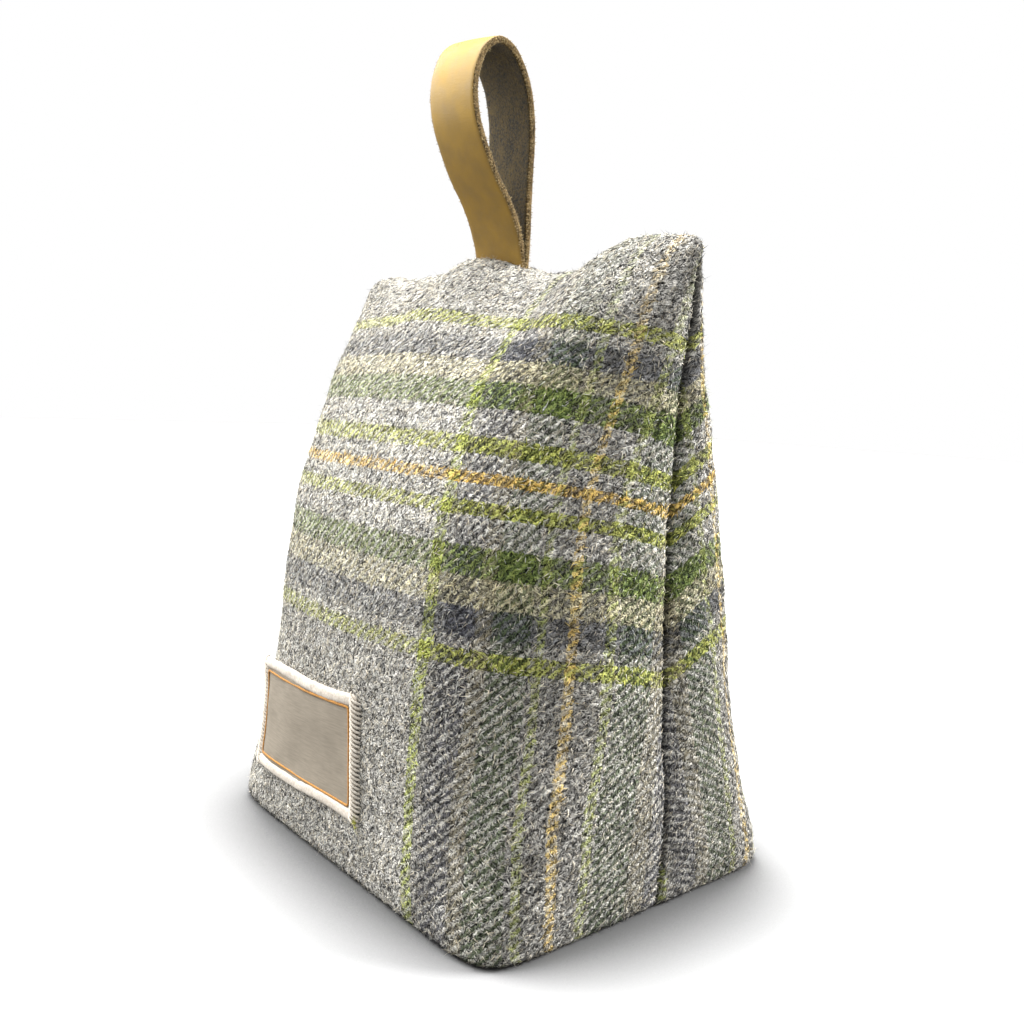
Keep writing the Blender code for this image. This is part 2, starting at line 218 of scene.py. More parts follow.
def trace_section(panel, share):
    """Points of one panel at a height, from the left seam round its front to the right seam."""
    outward = -1.0 if panel == "front" else 1.0
    height = share * RIDGE_HEIGHT
    below = max(0.0, BASE_EDGE_RADIUS - height)
    inset = BASE_EDGE_RADIUS - math.sqrt(BASE_EDGE_RADIUS ** 2 - below ** 2)
    half_width = float(body_value("half_width", share)) * BASE_WIDTH / 2.0 - inset
    depth = float(body_value(panel + "_depth", share)) * BASE_DEPTH / 2.0
    depth = max(depth - inset, RIDGE_HALF_THICKNESS)
    power = 2.0 / float(body_value(panel + "_squareness", share))
    set_back = float(body_value("seam_set_back", share)) * BASE_DEPTH / 2.0
    angle = np.linspace(-math.pi / 2.0, math.pi / 2.0, TRACE_STEPS)
    sideways = np.sign(np.sin(angle)) * np.abs(np.sin(angle)) ** power
    forwards = np.abs(np.cos(angle)) ** power
    x = half_width * sideways
    y = outward * depth * forwards + set_back * (1.0 - forwards)
    rise = ridge_factor(sideways) - 1.0
    z = height * (1.0 + rise * share ** RIDGE_LINE_REACH)
    for row in SOFT_SPOTS:
        spot = dict(zip(SPOT_COLUMNS, row))
        if spot["panel"] != panel:
            continue
        away = ((x - spot["x"]) ** 2 + (z - spot["z"]) ** 2) / spot["radius"] ** 2
        y = y + outward * spot["out"] * np.exp(-away) * min(1.0, depth / SPOT_FULL_DEPTH)
    return np.stack([x, y - RIDGE_AHEAD_OF_BASE_MIDDLE, z], axis=-1)


def lengths_along(points):
    """How far along a line each point lies from its first one."""
    return np.concatenate([[0.0], np.cumsum(np.linalg.norm(np.diff(points, axis=0), axis=1))])


def cloth_height(share):
    """How far up the front panel's cloth a height lies, in metres from the floor."""
    shares = np.linspace(0.0, 1.0, 101)
    slope = np.stack([-body_value("front_depth", shares) * BASE_DEPTH / 2.0,
                      shares * RIDGE_HEIGHT], axis=-1)
    return np.interp(share, shares, lengths_along(slope))


def panel_grid(panel, shares):
    """A panel's cage: each row's points, how far round each lies, and how far from its nearer seam."""
    places, rounds, from_seams = [], [], []
    for share in shares:
        points = trace_section(panel, share)
        length = lengths_along(points)
        spread = np.linspace(-1.0, 1.0, CAGE_COLUMNS + 1)
        spread = spread * (1.0 + SEAM_CROWDING * (1.0 - spread ** 2))
        wanted = (spread + 1.0) / 2.0 * length[-1]
        row = np.stack([np.interp(wanted, length, points[:, axis]) for axis in range(3)], axis=-1)
        from_seam = np.minimum(wanted, length[-1] - wanted)
        pull = SEAM_GROOVE_DEPTH * math.sqrt(max(0.0, math.sin(math.pi * min(share, 1.0))))
        row[:, 0] -= np.sign(row[:, 0]) * pull * np.exp(-(from_seam / SEAM_GROOVE_REACH) ** 2)
        places.append(row)
        rounds.append(wanted - length[-1] / 2.0)
        from_seams.append(from_seam)
    return np.array(places), np.array(rounds), np.array(from_seams)


def laid_cloth(panel, around, half, up):
    """Where on the flat check a point of a panel falls, by its distance round and its height up."""
    lay = {name: float(np.interp(up, column(CLOTH_LAY, LAY_COLUMNS, "up"),
                                 column(CLOTH_LAY, LAY_COLUMNS, name))) for name in LAY_COLUMNS}
    eased = min(up, CHECK_MIDDLE_UP) + max(0.0, up - CHECK_MIDDLE_UP) / UPPER_EASE
    share = around / half
    if panel == "back":
        return around + back_shift, eased + BACK_DROOP * abs(share) ** BACK_DROOP_POWER - BACK_RISE
    stray = np.interp(around, (0.0, LIME_WARP_ROUND, CHECK_MIDDLE_ROUND),
                      (0.0, lay["lime_warp"], lay["orange_warp"]))
    stray -= STRETCHED_PAST_ORANGE * max(0.0, around - CHECK_MIDDLE_ROUND)
    power = lay["droop_power"] if share > 0.0 else LEFT_DROOP_POWER
    return around + float(stray), eased + lay["droop"] * abs(share) ** power


def grid_spot(vert, columns, rows):
    """The column and row of a vertex of a fresh grid two units wide."""
    return round((vert.co.x + 1.0) / 2.0 * columns), round((vert.co.y + 1.0) / 2.0 * rows)


edge_share = BASE_EDGE_RADIUS / RIDGE_HEIGHT
low_rows = [0.0, FIRST_ROW_UP_EDGE * edge_share, edge_share]
rising = 1.0 - (1.0 - np.linspace(0.0, 1.0, CAGE_ROWS - 1)[1:]) ** RIDGE_CROWDING
row_shares = np.array(low_rows + [low_rows[-1] + (1.0 - low_rows[-1]) * value for value in rising])
row_heights = cloth_height(row_shares)
panels = {name: panel_grid(name, row_shares) for name in ("front", "back")}

# Both panels end in the same seam, so their end columns share one line.
for end in (0, -1):
    shared = (panels["front"][0][:, end] + panels["back"][0][:, end]) / 2.0
    for name in panels:
        panels[name][0][:, end] = shared
ridge_top = (panels["front"][0][-1] + panels["back"][0][-1]) / 2.0
ridge_top[:, 2] += RIDGE_HALF_THICKNESS
for name in panels:
    panels[name][0][-1] = ridge_top

BACK_ORANGE_FROM_SEAM = 0.024
half_up = int(np.searchsorted(row_shares, 0.5))
back_half_round = panels["back"][1][half_up, -1]
back_shift = CHECK_MIDDLE_ROUND - (back_half_round - BACK_ORANGE_FROM_SEAM)

cage = bmesh.new()
cloth_uv = cage.loops.layers.uv.new("cloth")
from_seam_layer = cage.verts.layers.float.new("from_seam")
held_layer = cage.verts.layers.deform.new()
for name in ("front", "back"):
    places, rounds, from_seams = panels[name]
    grid = bmesh.ops.create_grid(cage, x_segments=CAGE_COLUMNS, y_segments=CAGE_ROWS, size=1.0)
    spots = {}
    for vert in grid["verts"]:
        spots[vert] = grid_spot(vert, CAGE_COLUMNS, CAGE_ROWS)
    faces = {face for vert in grid["verts"] for face in vert.link_faces}
    for vert, (across, up) in spots.items():
        vert.co = places[up, across]
        vert[from_seam_layer] = float(from_seams[up, across])
        edge = across in (0, CAGE_COLUMNS) or up in (0, 1, 2, CAGE_ROWS)
        vert[held_layer][0] = 1.0 if edge else 0.0
    for face in faces:
        for loop in face.loops:
            across, up = spots[loop.vert]
            pulled = places[up, across, 2] - row_shares[up] * RIDGE_HEIGHT
            height = row_heights[up] + CHECK_STRAIGHTENED * pulled
            loop[cloth_uv].uv = laid_cloth(name, rounds[up, across], rounds[up, -1], height)
    if name == "back":
        bmesh.ops.reverse_faces(cage, faces=list(faces))
bmesh.ops.remove_doubles(cage, verts=cage.verts, dist=1e-5)
base_rim = [edge for edge in cage.edges if edge.is_boundary]
bmesh.ops.contextual_create(cage, geom=base_rim)
bmesh.ops.recalc_face_normals(cage, faces=cage.faces)
body_mesh = bpy.data.meshes.new("tweed_panels")
cage.to_mesh(body_mesh)
cage.free()
body = bpy.data.objects.new("tweed_panels", body_mesh)
bpy.context.scene.collection.objects.link(body)
body.vertex_groups.new(name="held")

# The filling: air pressure inside the sewn cage stands for it. The seams, the ridge and the foot are
# held, and no point may move further than the cap.
FILL_FRAMES = 20
FILL_PRESSURE = 4.0
FILL_CAP = 0.0022
CLOTH_FEEL = {"quality": 5, "mass": 0.3, "tension_stiffness": 40.0, "compression_stiffness": 25.0,
              "shear_stiffness": 15.0, "bending_stiffness": 0.8}


def points_of(mesh):
    """A mesh's points as an array."""
    flat = np.empty(len(mesh.vertices) * 3)
    mesh.vertices.foreach_get("co", flat)
    return flat.reshape(-1, 3)


def normals_of(mesh):
    """A mesh's outward directions at its points, as an array."""
    flat = np.empty(len(mesh.vertices) * 3, dtype=np.float32)
    mesh.vertex_normals.foreach_get("vector", flat)
    return flat.reshape(-1, 3).astype(float)


def fill_body(body):
    """Swells the cage with pressure and leaves the result in its mesh."""
    sewn = points_of(body.data)
    cloth = body.modifiers.new("Filling", "CLOTH")
    for name, value in CLOTH_FEEL.items():
        setattr(cloth.settings, name, value)
    cloth.settings.use_pressure = True
    cloth.settings.uniform_pressure_force = FILL_PRESSURE
    cloth.settings.vertex_group_mass = "held"
    cloth.settings.effector_weights.gravity = 0.0
    cloth.collision_settings.use_collision = False
    for number in range(1, FILL_FRAMES + 1):
        bpy.context.scene.frame_set(number)
    evaluated = body.evaluated_get(bpy.context.evaluated_depsgraph_get())
    filled = points_of(evaluated.to_mesh())
    evaluated.to_mesh_clear()
    body.modifiers.remove(cloth)
    bpy.context.scene.frame_set(1)
    moved = filled - sewn
    far = np.linalg.norm(moved, axis=1, keepdims=True)
    moved = moved * np.minimum(1.0, FILL_CAP / np.maximum(far, 1e-9))
    body.data.vertices.foreach_set("co", (sewn + moved).ravel())
    print("filling moved the cloth by up to", round(float(far.max()) * 1000.0, 2), "mm, kept under",
          FILL_CAP * 1000.0, "mm")


fill_body(body)

# The cloth is made fine, then each stitched seam bites in as a narrow crease, and the filling and
# the slubs of the yarn leave it a little uneven.
SEAM_CREASE_DEPTH = 0.0022
SEAM_CREASE_REACH = 0.0010
CREASE_FADES_OVER = 0.010
LUMP_SIZE = 0.017
LUMP_HEIGHT = 0.0007
SLUB_SIZE = 0.0034
SLUB_HEIGHT = 0.00022

finer = body.modifiers.new("Fine cloth", "SUBSURF")
finer.levels = FINE_LEVELS
finer.render_levels = FINE_LEVELS
fine_mesh = bpy.data.meshes.new_from_object(body.evaluated_get(bpy.context.evaluated_depsgraph_get()))
body.modifiers.remove(finer)
body.data = fine_mesh
bpy.data.meshes.remove(body_mesh)
fine_mesh.name = "tweed_panels"
body.vertex_groups.clear()

points = points_of(fine_mesh)
outwards = normals_of(fine_mesh)

# Both panels turn outwards round the strap's foot and leave a slot for it in the ridge seam.
STRAP_MIDDLE_X = -0.0025
SLOT_HALF_LENGTH = 0.0178
SLOT_EASE = 0.0045
SLOT_HALF_WIDTH = 0.0026
SLOT_DEPTH = 0.0030
SLOT_REACH_DOWN = 0.0070
SLOT_LIP = 0.0008
ridge_height_here = RIDGE_HEIGHT * ridge_factor(points[:, 0] / ridge_top[-1, 0])
below_ridge = ridge_height_here - points[:, 2]
past_slot = np.abs(points[:, 0] - STRAP_MIDDLE_X) - SLOT_HALF_LENGTH
beside = np.clip(0.5 - past_slot / SLOT_EASE, 0.0, 1.0)
beside = beside * beside * (3.0 - 2.0 * beside) * np.exp(-(below_ridge / SLOT_REACH_DOWN) ** 2)
off_ridge = points[:, 1] + RIDGE_AHEAD_OF_BASE_MIDDLE
lip = np.clip(np.abs(off_ridge) / SLOT_LIP, 0.0, 1.0)
points[:, 1] += np.sign(off_ridge) * SLOT_HALF_WIDTH * beside * lip
points[:, 2] -= SLOT_DEPTH * beside * (1.0 - lip)

from_seam = np.empty(len(points), dtype=np.float32)
fine_mesh.attributes["from_seam"].data.foreach_get("value", from_seam)
from_foot = np.clip(points[:, 2] / CREASE_FADES_OVER, 0.0, 1.0)
from_top = np.clip((RIDGE_HEIGHT - points[:, 2]) / CREASE_FADES_OVER, 0.0, 1.0)
crease = -SEAM_CREASE_DEPTH * np.exp(-(from_seam / SEAM_CREASE_REACH) ** 2) * from_foot * from_top
lumps = np.array([noise.noise(Vector(point) / LUMP_SIZE) for point in points]) * LUMP_HEIGHT
slubs = np.array([noise.noise(Vector(point) / SLUB_SIZE) for point in points]) * SLUB_HEIGHT
sideways = np.stack([np.sign(points[:, 0]), np.zeros(len(points)), np.zeros(len(points))], axis=-1)
points += outwards * ((lumps + slubs) * from_foot)[:, None] + sideways * crease[:, None]
fine_mesh.vertices.foreach_set("co", points.ravel())
fine_mesh.update()
fine_mesh.shade_smooth()

# The tweed's check: bars of coloured yarn on a heathered grey ground, alike on both sides of a thin
# orange line, in warp and weft. Each bar has its start, in metres from that line, and its dyed wool.
YARN_PITCH = 0.00092
WARP_SCALE = 0.85
CHECK_REACH = 0.060
WOOL_GREY = (0.45, 0.435, 0.405)
WOOL_LIGHT = (0.52, 0.505, 0.475)
WOOL_SHADE = (0.108, 0.105, 0.100)
WOOL_ORANGE = (0.80, 0.51, 0.12)
WOOL_LIME = (0.40, 0.425, 0.085)
WOOL_FERN = (0.34, 0.39, 0.075)
WOOL_OLIVE = (0.23, 0.26, 0.07)
WOOL_GREEN = (0.150, 0.200, 0.045)
WOOL_MOSS = (0.024, 0.044, 0.009)
WOOL_BEIGE = (0.49, 0.45, 0.29)
WOOL_BROWN = (0.135, 0.120, 0.078)
WOOL_DARK = (0.125, 0.128, 0.138)
WOOL_NAVY = (0.020, 0.021, 0.032)
WOOL_STRAW = (0.56, 0.39, 0.11)
WEFT_FACE = 0.14
WEFT_BARS = (
    (0.0000, WOOL_ORANGE),
    (0.0015, WOOL_LIGHT),
    (0.0072, WOOL_LIME),
    (0.0120, WOOL_LIGHT),
    (0.0216, WOOL_GREEN),
    (0.0306, WOOL_BEIGE),
    (0.0396, WOOL_DARK),
    (0.0486, WOOL_GREY),
    (0.0528, WOOL_LIME),
    (0.0582, WOOL_GREY),
)
WARP_BARS = (
    (0.0000, WOOL_STRAW),
    (0.0014, WOOL_SHADE),
    (0.0090, WOOL_OLIVE),
    (0.0118, WOOL_SHADE),
    (0.0140, WOOL_MOSS),
    (0.0280, WOOL_BROWN),
    (0.0345, WOOL_NAVY),
    (0.0480, WOOL_SHADE),
    (0.0525, WOOL_FERN),
    (0.0576, WOOL_GREY),
)

# How the yarns lie. They wander a little and cross in a two and two twill, and the fulling mats warp
# and weft together: more of the warp shows low down, and the brushed top is paler.
TWILL_DEGREES = 55.0
YARN_WANDER = 0.0015
YARN_WANDER_SCALE = 520.0
YARN_ROUNDNESS = 0.8
WEFT_FACE_STEP = 3.0
FULLING_STREAKS = (300.0, 130.0)
FULLING_UNEVEN = (WEFT_FACE - 0.45, WEFT_FACE + 0.75)
WARP_SHARE_HEIGHTS = (0.085, 0.120)
WARP_SHARES = (0.72, 0.50)
MATTED_SHARE = 0.40
BRUSHED_HEIGHTS = (0.190, 0.215)
BRUSHED_SHARE = 0.35
CLUMP_STREAKS = (620.0, 240.0)
CLUMP_SHADES = (0.66, 1.16)

# The mat of fibres over the yarns: how pale the palest are, and the streaks that they lie in, each with
# its turn in degrees and how fine it is across and along, per metre.
PALE_GAMMA = 0.78
PALE_TINT = (1.70, 1.68, 1.62, 1.0)
PALE_SHARE = 0.85
PALE_STREAKS = ((38.0, 2000.0, 560.0), (72.0, 2150.0, 620.0), (-35.0, 2050.0, 640.0))
# Painted shade in the gaps between fibres and yarns: the streaks it lies in, and its lightness from the
# deepest gap to the open cloth.
GAP_STREAKS = (1400.0, 720.0)
GAP_PAINTED_SHADES = (0.10, 0.95)
# Painted shade in each seam's crease: the distances from the seam over which it fades out, and its lightness
# at the seam.
SEAM_PAINTED_SHADE_REACH = (0.0004, 0.0018)
SEAM_PAINTED_SHADE = 0.06
TWEED_RELIEF = 0.00035


def add_node(tree, kind, settings=None, feeds=None):
    """A shader node with its settings, and its inputs set or fed by name or number."""
    node = tree.nodes.new(kind)
    for name, value in (settings or {}).items():
        setattr(node, name, value)
    for name, value in (feeds or {}).items():
        if isinstance(value, bpy.types.NodeSocket):
            tree.links.new(value, node.inputs[name])
        else:
            node.inputs[name].default_value = value
    return node


def reckon(tree, operation, *values):
    """The result of a Math node."""
    return add_node(tree, "ShaderNodeMath", {"operation": operation}, dict(enumerate(values))).outputs[0]


def blend_colours(tree, kind, share, under, over):
    """The result of mixing two colours."""
    node = add_node(tree, "ShaderNodeMix", {"data_type": "RGBA", "blend_type": kind},
                    {0: share, 6: under, 7: over})
    return node.outputs[2]


def colour_bars(tree, bars, distance):
    """The dyed colour at a distance from the check's middle line."""
    ramp = add_node(tree, "ShaderNodeValToRGB", feeds={0: distance})
    ramp.color_ramp.interpolation = "CONSTANT"
    stops = ramp.color_ramp.elements
    while len(stops) < len(bars):
        stops.new(0.5)
    for stop, (start, colour) in zip(stops, bars):
        stop.position = start / CHECK_REACH
        stop.color = (*colour, 1.0)
    return ramp.outputs[0]


def stretched_noise(tree, place, turn, across, along, detail=1.0):
    """Noise drawn out into streaks: how fine it is across them and along them, per metre."""
    laid = add_node(tree, "ShaderNodeMapping", feeds={
        0: place, "Rotation": (0.0, 0.0, math.radians(turn))})
    drawn = add_node(tree, "ShaderNodeMapping", feeds={0: laid.outputs[0], "Scale": (across, along, 1.0)})
    made = add_node(tree, "ShaderNodeTexNoise", {"noise_dimensions": "2D"},
                    {"Vector": drawn.outputs[0], "Scale": 1.0, "Detail": detail, "Roughness": 0.6})
    return made.outputs[0]


def between(tree, value, low, high, to_low=0.0, to_high=1.0):
    """A value brought from one range to another, held inside it."""
    return add_node(tree, "ShaderNodeMapRange", feeds={
        0: value, 1: low, 2: high, 3: to_low, 4: to_high}).outputs[0]


def between_grey(tree, value, low, high):
    """A grey between two lightnesses, by a value from 0 to 1, as a colour."""
    level = between(tree, value, 0.0, 1.0, low, high)
    return add_node(tree, "ShaderNodeCombineColor", feeds={0: level, 1: level, 2: level}).outputs[0]


def cloth_place(tree):
    """The cloth's own flat coordinates, in metres."""
    return add_node(tree, "ShaderNodeUVMap", {"uv_map": "cloth"}).outputs[0]


def woven_tweed(tree):
    """The twill's wandering place, colour and height, from the cloth's own flat coordinates."""
    flat = cloth_place(tree)
    wander = add_node(tree, "ShaderNodeTexNoise", {"noise_dimensions": "2D"},
                      {"Vector": flat, "Scale": YARN_WANDER_SCALE, "Detail": 2.0})
    centred = add_node(tree, "ShaderNodeVectorMath", {"operation": "SUBTRACT"},
                       {0: wander.outputs[1], 1: (0.5, 0.5, 0.5)})
    drift = add_node(tree, "ShaderNodeVectorMath", {"operation": "SCALE"}, {0: centred.outputs[0]})
    drift.inputs["Scale"].default_value = YARN_WANDER
    place = add_node(tree, "ShaderNodeVectorMath", {"operation": "ADD"},
                     {0: flat, 1: drift.outputs[0]}).outputs[0]
    parts = add_node(tree, "ShaderNodeSeparateXYZ", feeds={0: place})
    yarns = {}
    for way, socket in (("warp", parts.outputs[0]), ("weft", parts.outputs[1])):
        count = reckon(tree, "DIVIDE", socket, YARN_PITCH)
        number = reckon(tree, "FLOOR", count)
        inside = reckon(tree, "SUBTRACT", count, number)
        swing = reckon(tree, "MULTIPLY_ADD", inside, 2.0, -1.0)
        crown = reckon(tree, "SUBTRACT", 1.0, reckon(tree, "MULTIPLY", swing, swing))
        centre = reckon(tree, "MULTIPLY", reckon(tree, "ADD", number, 0.5), YARN_PITCH)
        yarns[way] = (count, number, crown, centre)
    quarter = math.pi / 2.0
    warp_run = reckon(tree, "SUBTRACT", yarns["warp"][1], yarns["weft"][0])
    warp_wave = reckon(tree, "COSINE", reckon(tree, "MULTIPLY", warp_run, quarter))
    weft_run = reckon(tree, "SUBTRACT", yarns["warp"][0], yarns["weft"][1])
    weft_run = reckon(tree, "SUBTRACT", weft_run, WEFT_FACE_STEP)
    weft_wave = reckon(tree, "COSINE", reckon(tree, "MULTIPLY", weft_run, quarter))
    warp_height = reckon(tree, "MULTIPLY_ADD", yarns["warp"][2], YARN_ROUNDNESS, warp_wave)
    weft_height = reckon(tree, "MULTIPLY_ADD", yarns["weft"][2], YARN_ROUNDNESS, weft_wave)
    fulling = stretched_noise(tree, flat, TWILL_DEGREES, *FULLING_STREAKS)
    face = between(tree, fulling, 0.36, 0.64, *FULLING_UNEVEN)
    warp_over = reckon(tree, "GREATER_THAN", reckon(tree, "SUBTRACT", warp_height, face), weft_height)
    weave = between(tree, reckon(tree, "MAXIMUM", warp_height, weft_height), 0.2, 1.7)
    warp_away = reckon(tree, "ABSOLUTE", reckon(tree, "SUBTRACT", yarns["warp"][3], CHECK_MIDDLE_ROUND))
    weft_away = reckon(tree, "ABSOLUTE", reckon(tree, "SUBTRACT", yarns["weft"][3], CHECK_MIDDLE_UP))
    warp_colour = colour_bars(tree, WARP_BARS, reckon(tree, "DIVIDE", warp_away, WARP_SCALE * CHECK_REACH))
    weft_colour = colour_bars(tree, WEFT_BARS, reckon(tree, "DIVIDE", weft_away, CHECK_REACH))
    brushed = between(tree, parts.outputs[1], *BRUSHED_HEIGHTS, 0.0, BRUSHED_SHARE)
    warp_colour = blend_colours(tree, "MIX", brushed, warp_colour, (*WOOL_LIGHT, 1.0))
    crossed = blend_colours(tree, "MIX", warp_over, weft_colour, warp_colour)
    warp_share = between(tree, parts.outputs[1], *WARP_SHARE_HEIGHTS, *WARP_SHARES)
    matted = blend_colours(tree, "MIX", warp_share, weft_colour, warp_colour)
    colour = blend_colours(tree, "MIX", MATTED_SHARE, crossed, matted)
    clumps = between(tree, stretched_noise(tree, place, TWILL_DEGREES, *CLUMP_STREAKS), 0.34, 0.66)
    colour = blend_colours(tree, "MULTIPLY", 1.0, colour, between_grey(tree, clumps, *CLUMP_SHADES))
    return place, colour, weave


def add_relief(tree, strength, depth, height):
    """Bumps of a depth in metres, fed to the material's shader."""
    bump = add_node(tree, "ShaderNodeBump", feeds={"Strength": strength, "Distance": depth, "Height": height})
    tree.links.new(bump.outputs[0], tree.nodes["Principled BSDF"].inputs["Normal"])


def finish(shader, values):
    """The values of a finish that are the same all over it, set on the shader's own sockets."""
    for name, value in values.items():
        shader.inputs[name].default_value = value


def paler(tree, colour):
    """The palest fibres of a dyed wool: lighter, and a little washed out."""
    faded = add_node(tree, "ShaderNodeGamma", feeds={0: colour, 1: PALE_GAMMA}).outputs[0]
    return blend_colours(tree, "MULTIPLY", 1.0, faded, PALE_TINT)


def tweed_shader(material):
    """Fulled wool: the check under a mat of pale and dark fibres, with painted shade in the gaps between
    yarns and in the seams' creases, and the yarns' relief.
    """
    tree = material.node_tree
    shader = tree.nodes["Principled BSDF"]
    place, colour, weave = woven_tweed(tree)
    pale = None
    for turn, across, along in PALE_STREAKS:
        streak = between(tree, stretched_noise(tree, place, turn, across, along), 0.54, 0.63)
        pale = streak if pale is None else reckon(tree, "MAXIMUM", pale, streak)
    # Painted shade: the gaps between fibres and the hollows between yarns are darkened.
    gap_shade_streaks = between(tree, stretched_noise(tree, place, TWILL_DEGREES, *GAP_STREAKS), 0.40, 0.56)
    depth = reckon(tree, "MULTIPLY", gap_shade_streaks, between(tree, weave, 0.0, 1.0, 0.35, 1.0))
    shaded = blend_colours(tree, "MULTIPLY", 1.0, colour, between_grey(tree, depth, *GAP_PAINTED_SHADES))
    pale_share = reckon(tree, "MULTIPLY", pale, PALE_SHARE)
    lit = blend_colours(tree, "MIX", pale_share, shaded, paler(tree, colour))
    # Painted shade darkens the tweed close to each seam, in its crease.
    beside_seam = add_node(tree, "ShaderNodeAttribute", {"attribute_name": "from_seam"}).outputs["Fac"]
    seam_painted_shade = between_grey(tree, between(tree, beside_seam, *SEAM_PAINTED_SHADE_REACH), SEAM_PAINTED_SHADE, 1.0)
    tree.links.new(blend_colours(tree, "MULTIPLY", 1.0, lit, seam_painted_shade), shader.inputs["Base Color"])
    relief = reckon(tree, "MULTIPLY_ADD", weave, 0.6, reckon(tree, "MULTIPLY_ADD", pale, 0.5, depth))
    add_relief(tree, 0.9, TWEED_RELIEF, relief)
    finish(shader, {"Roughness": 0.95, "Specular IOR Level": 0.10, "Sheen Weight": 0.10,
                    "Sheen Roughness": 0.5})


def new_material(name):
    """An empty material with its shader."""
    made = bpy.data.materials.new(name)
    made.use_nodes = True
    return made


tweed = new_material("fulled check tweed")
tweed_shader(tweed)
fine_mesh.materials.clear()
fine_mesh.materials.append(tweed)
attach(body, "root")
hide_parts("tweed_body")


# Loop handle: one strap of vegetable tanned leather, knife cut and folded over, its two ends sewn
# into the ridge seam. The smooth grain faces out, the inside is raw suede, and the cut edges are furred.
STRAP_WIDTH = 0.030
STRAP_THICKNESS = 0.0023
STRAP_LEAN_DEGREES = 4.0
STRAP_TURN_DEGREES = -4.0
STRAP_SEAT = 0.2163
STRAP_COLUMNS = 14
STRAP_ROWS = 180
STRAP_EDGE_ROUNDING = 0.00045
STRAP_CUPPING = 0.00035
STRAP_CUT_WANDER = 0.00018
STRAP_CUT_RATE = (9.0, 38.0, 4.0)
SHARP_EDGE_DEGREES = 60.0

# The middle of the leather's thickness, from the front leg's sewn end over the top to the back leg's,
# as (across the ridge, up from the seat).
STRAP_PATH = (
    (-0.0006, -0.0030),
    (-0.0006, 0.0000),
    (-0.0018, 0.0060),
    (-0.0045, 0.0135),
    (-0.0096, 0.0226),
    (-0.0143, 0.0287),
    (-0.0203, 0.0386),
    (-0.0251, 0.0494),
    (-0.0265, 0.0580),
    (-0.0256, 0.0655),
    (-0.0223, 0.0721),
    (-0.0170, 0.0752),
    (-0.0121, 0.0735),
    (-0.0080, 0.0692),
    (-0.0042, 0.0625),
    (-0.0016, 0.0540),
    (-0.0004, 0.0450),
    (0.0000, 0.0340),
    (0.0004, 0.0200),
    (0.0009, 0.0080),
    (0.0010, 0.0000),
    (0.0010, -0.0030),
)

# The strap is folded a little off square: its left edge makes the taller loop, and its back leg
# swings round behind the front one. The seam presses both ends thin.
STRAP_SLANT = 0.045
STRAP_SWING = 0.0062
STRAP_PRESSED = 0.62
STRAP_PRESSED_REACH = 0.012


def smooth_path(path, steps):
    """A smooth curve through given points, evenly stepped along its length."""
    path = np.array(path, dtype=float)
    length = lengths_along(path)
    tangents = np.gradient(path, length, axis=0)
    wanted = np.linspace(0.0, length[-1], 8 * steps + 1)
    index = np.clip(np.searchsorted(length, wanted, side="right") - 1, 0, len(length) - 2)
    gap = (length[index + 1] - length[index])[:, None]
    part = (wanted - length[index])[:, None] / gap
    curve = ((1.0 + 2.0 * part) * (1.0 - part) ** 2 * path[index]
             + part * (1.0 - part) ** 2 * gap * tangents[index]
             + part ** 2 * (3.0 - 2.0 * part) * path[index + 1]
             + part ** 2 * (part - 1.0) * gap * tangents[index + 1])
    curve_length = lengths_along(curve)
    even = np.linspace(0.0, curve_length[-1], steps + 1)
    return np.stack([np.interp(even, curve_length, curve[:, axis]) for axis in range(2)], axis=-1)


def grid_mesh(name, columns, rows, place):
    """An open sheet: a grid whose points and UVs go where place says, by their shares across and up."""
    sheet = bmesh.new()
    flat = sheet.loops.layers.uv.new("cloth")
    bmesh.ops.create_grid(sheet, x_segments=columns, y_segments=rows, size=1.0)
    spots = {vert: grid_spot(vert, columns, rows) for vert in sheet.verts}
    for vert, (across, up) in spots.items():
        vert.co, spots[vert] = place(across / columns, up / rows)
    for face in sheet.faces:
        for loop in face.loops:
            loop[flat].uv = spots[loop.vert]
    made = bpy.data.meshes.new(name)
    sheet.to_mesh(made)
    sheet.free()
    made.shade_smooth()
    return made


strap_line = smooth_path(STRAP_PATH, STRAP_ROWS)
strap_length = lengths_along(strap_line)[-1]
strap_stand = (Matrix.Translation((STRAP_MIDDLE_X, -RIDGE_AHEAD_OF_BASE_MIDDLE, STRAP_SEAT))
               @ Matrix.Rotation(math.radians(STRAP_TURN_DEGREES), 4, "Z")
               @ Matrix.Rotation(math.radians(STRAP_LEAN_DEGREES), 4, "Y"))
strap_slope = np.gradient(strap_line, axis=0)
strap_outward = np.stack([-strap_slope[:, 1], strap_slope[:, 0]], axis=-1)
strap_outward /= np.linalg.norm(strap_outward, axis=1, keepdims=True)


def strap_point(across, up):
    """A point of the strap's middle layer and its UV in metres."""
    row = round(up * STRAP_ROWS)
    side = 2.0 * across - 1.0
    wander = STRAP_CUT_WANDER * side * noise.noise(Vector((
        side * STRAP_CUT_RATE[0], up * STRAP_CUT_RATE[1], STRAP_CUT_RATE[2])))
    x = side * STRAP_WIDTH / 2.0 + wander
    cup = STRAP_CUPPING * (1.0 - side ** 2) * math.sin(math.pi * up)
    y, z = strap_line[row] + strap_outward[row] * cup
    y -= side / 2.0 * STRAP_SWING * math.sin(math.pi * up) * up ** 2
    z *= 1.0 - side / 2.0 * STRAP_SLANT
    return strap_stand @ Vector((x, y, z)), (x, up * strap_length)


def fitted_piece(name, mesh, slot_name, *replaced):
    """An object for a finished mesh, riding with the doorstop and standing for its CAD nodes."""
    made = bpy.data.objects.new(name, mesh)
    bpy.context.scene.collection.objects.link(made)
    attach(made, "root")
    if replaced:
        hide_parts(*replaced)
    return made


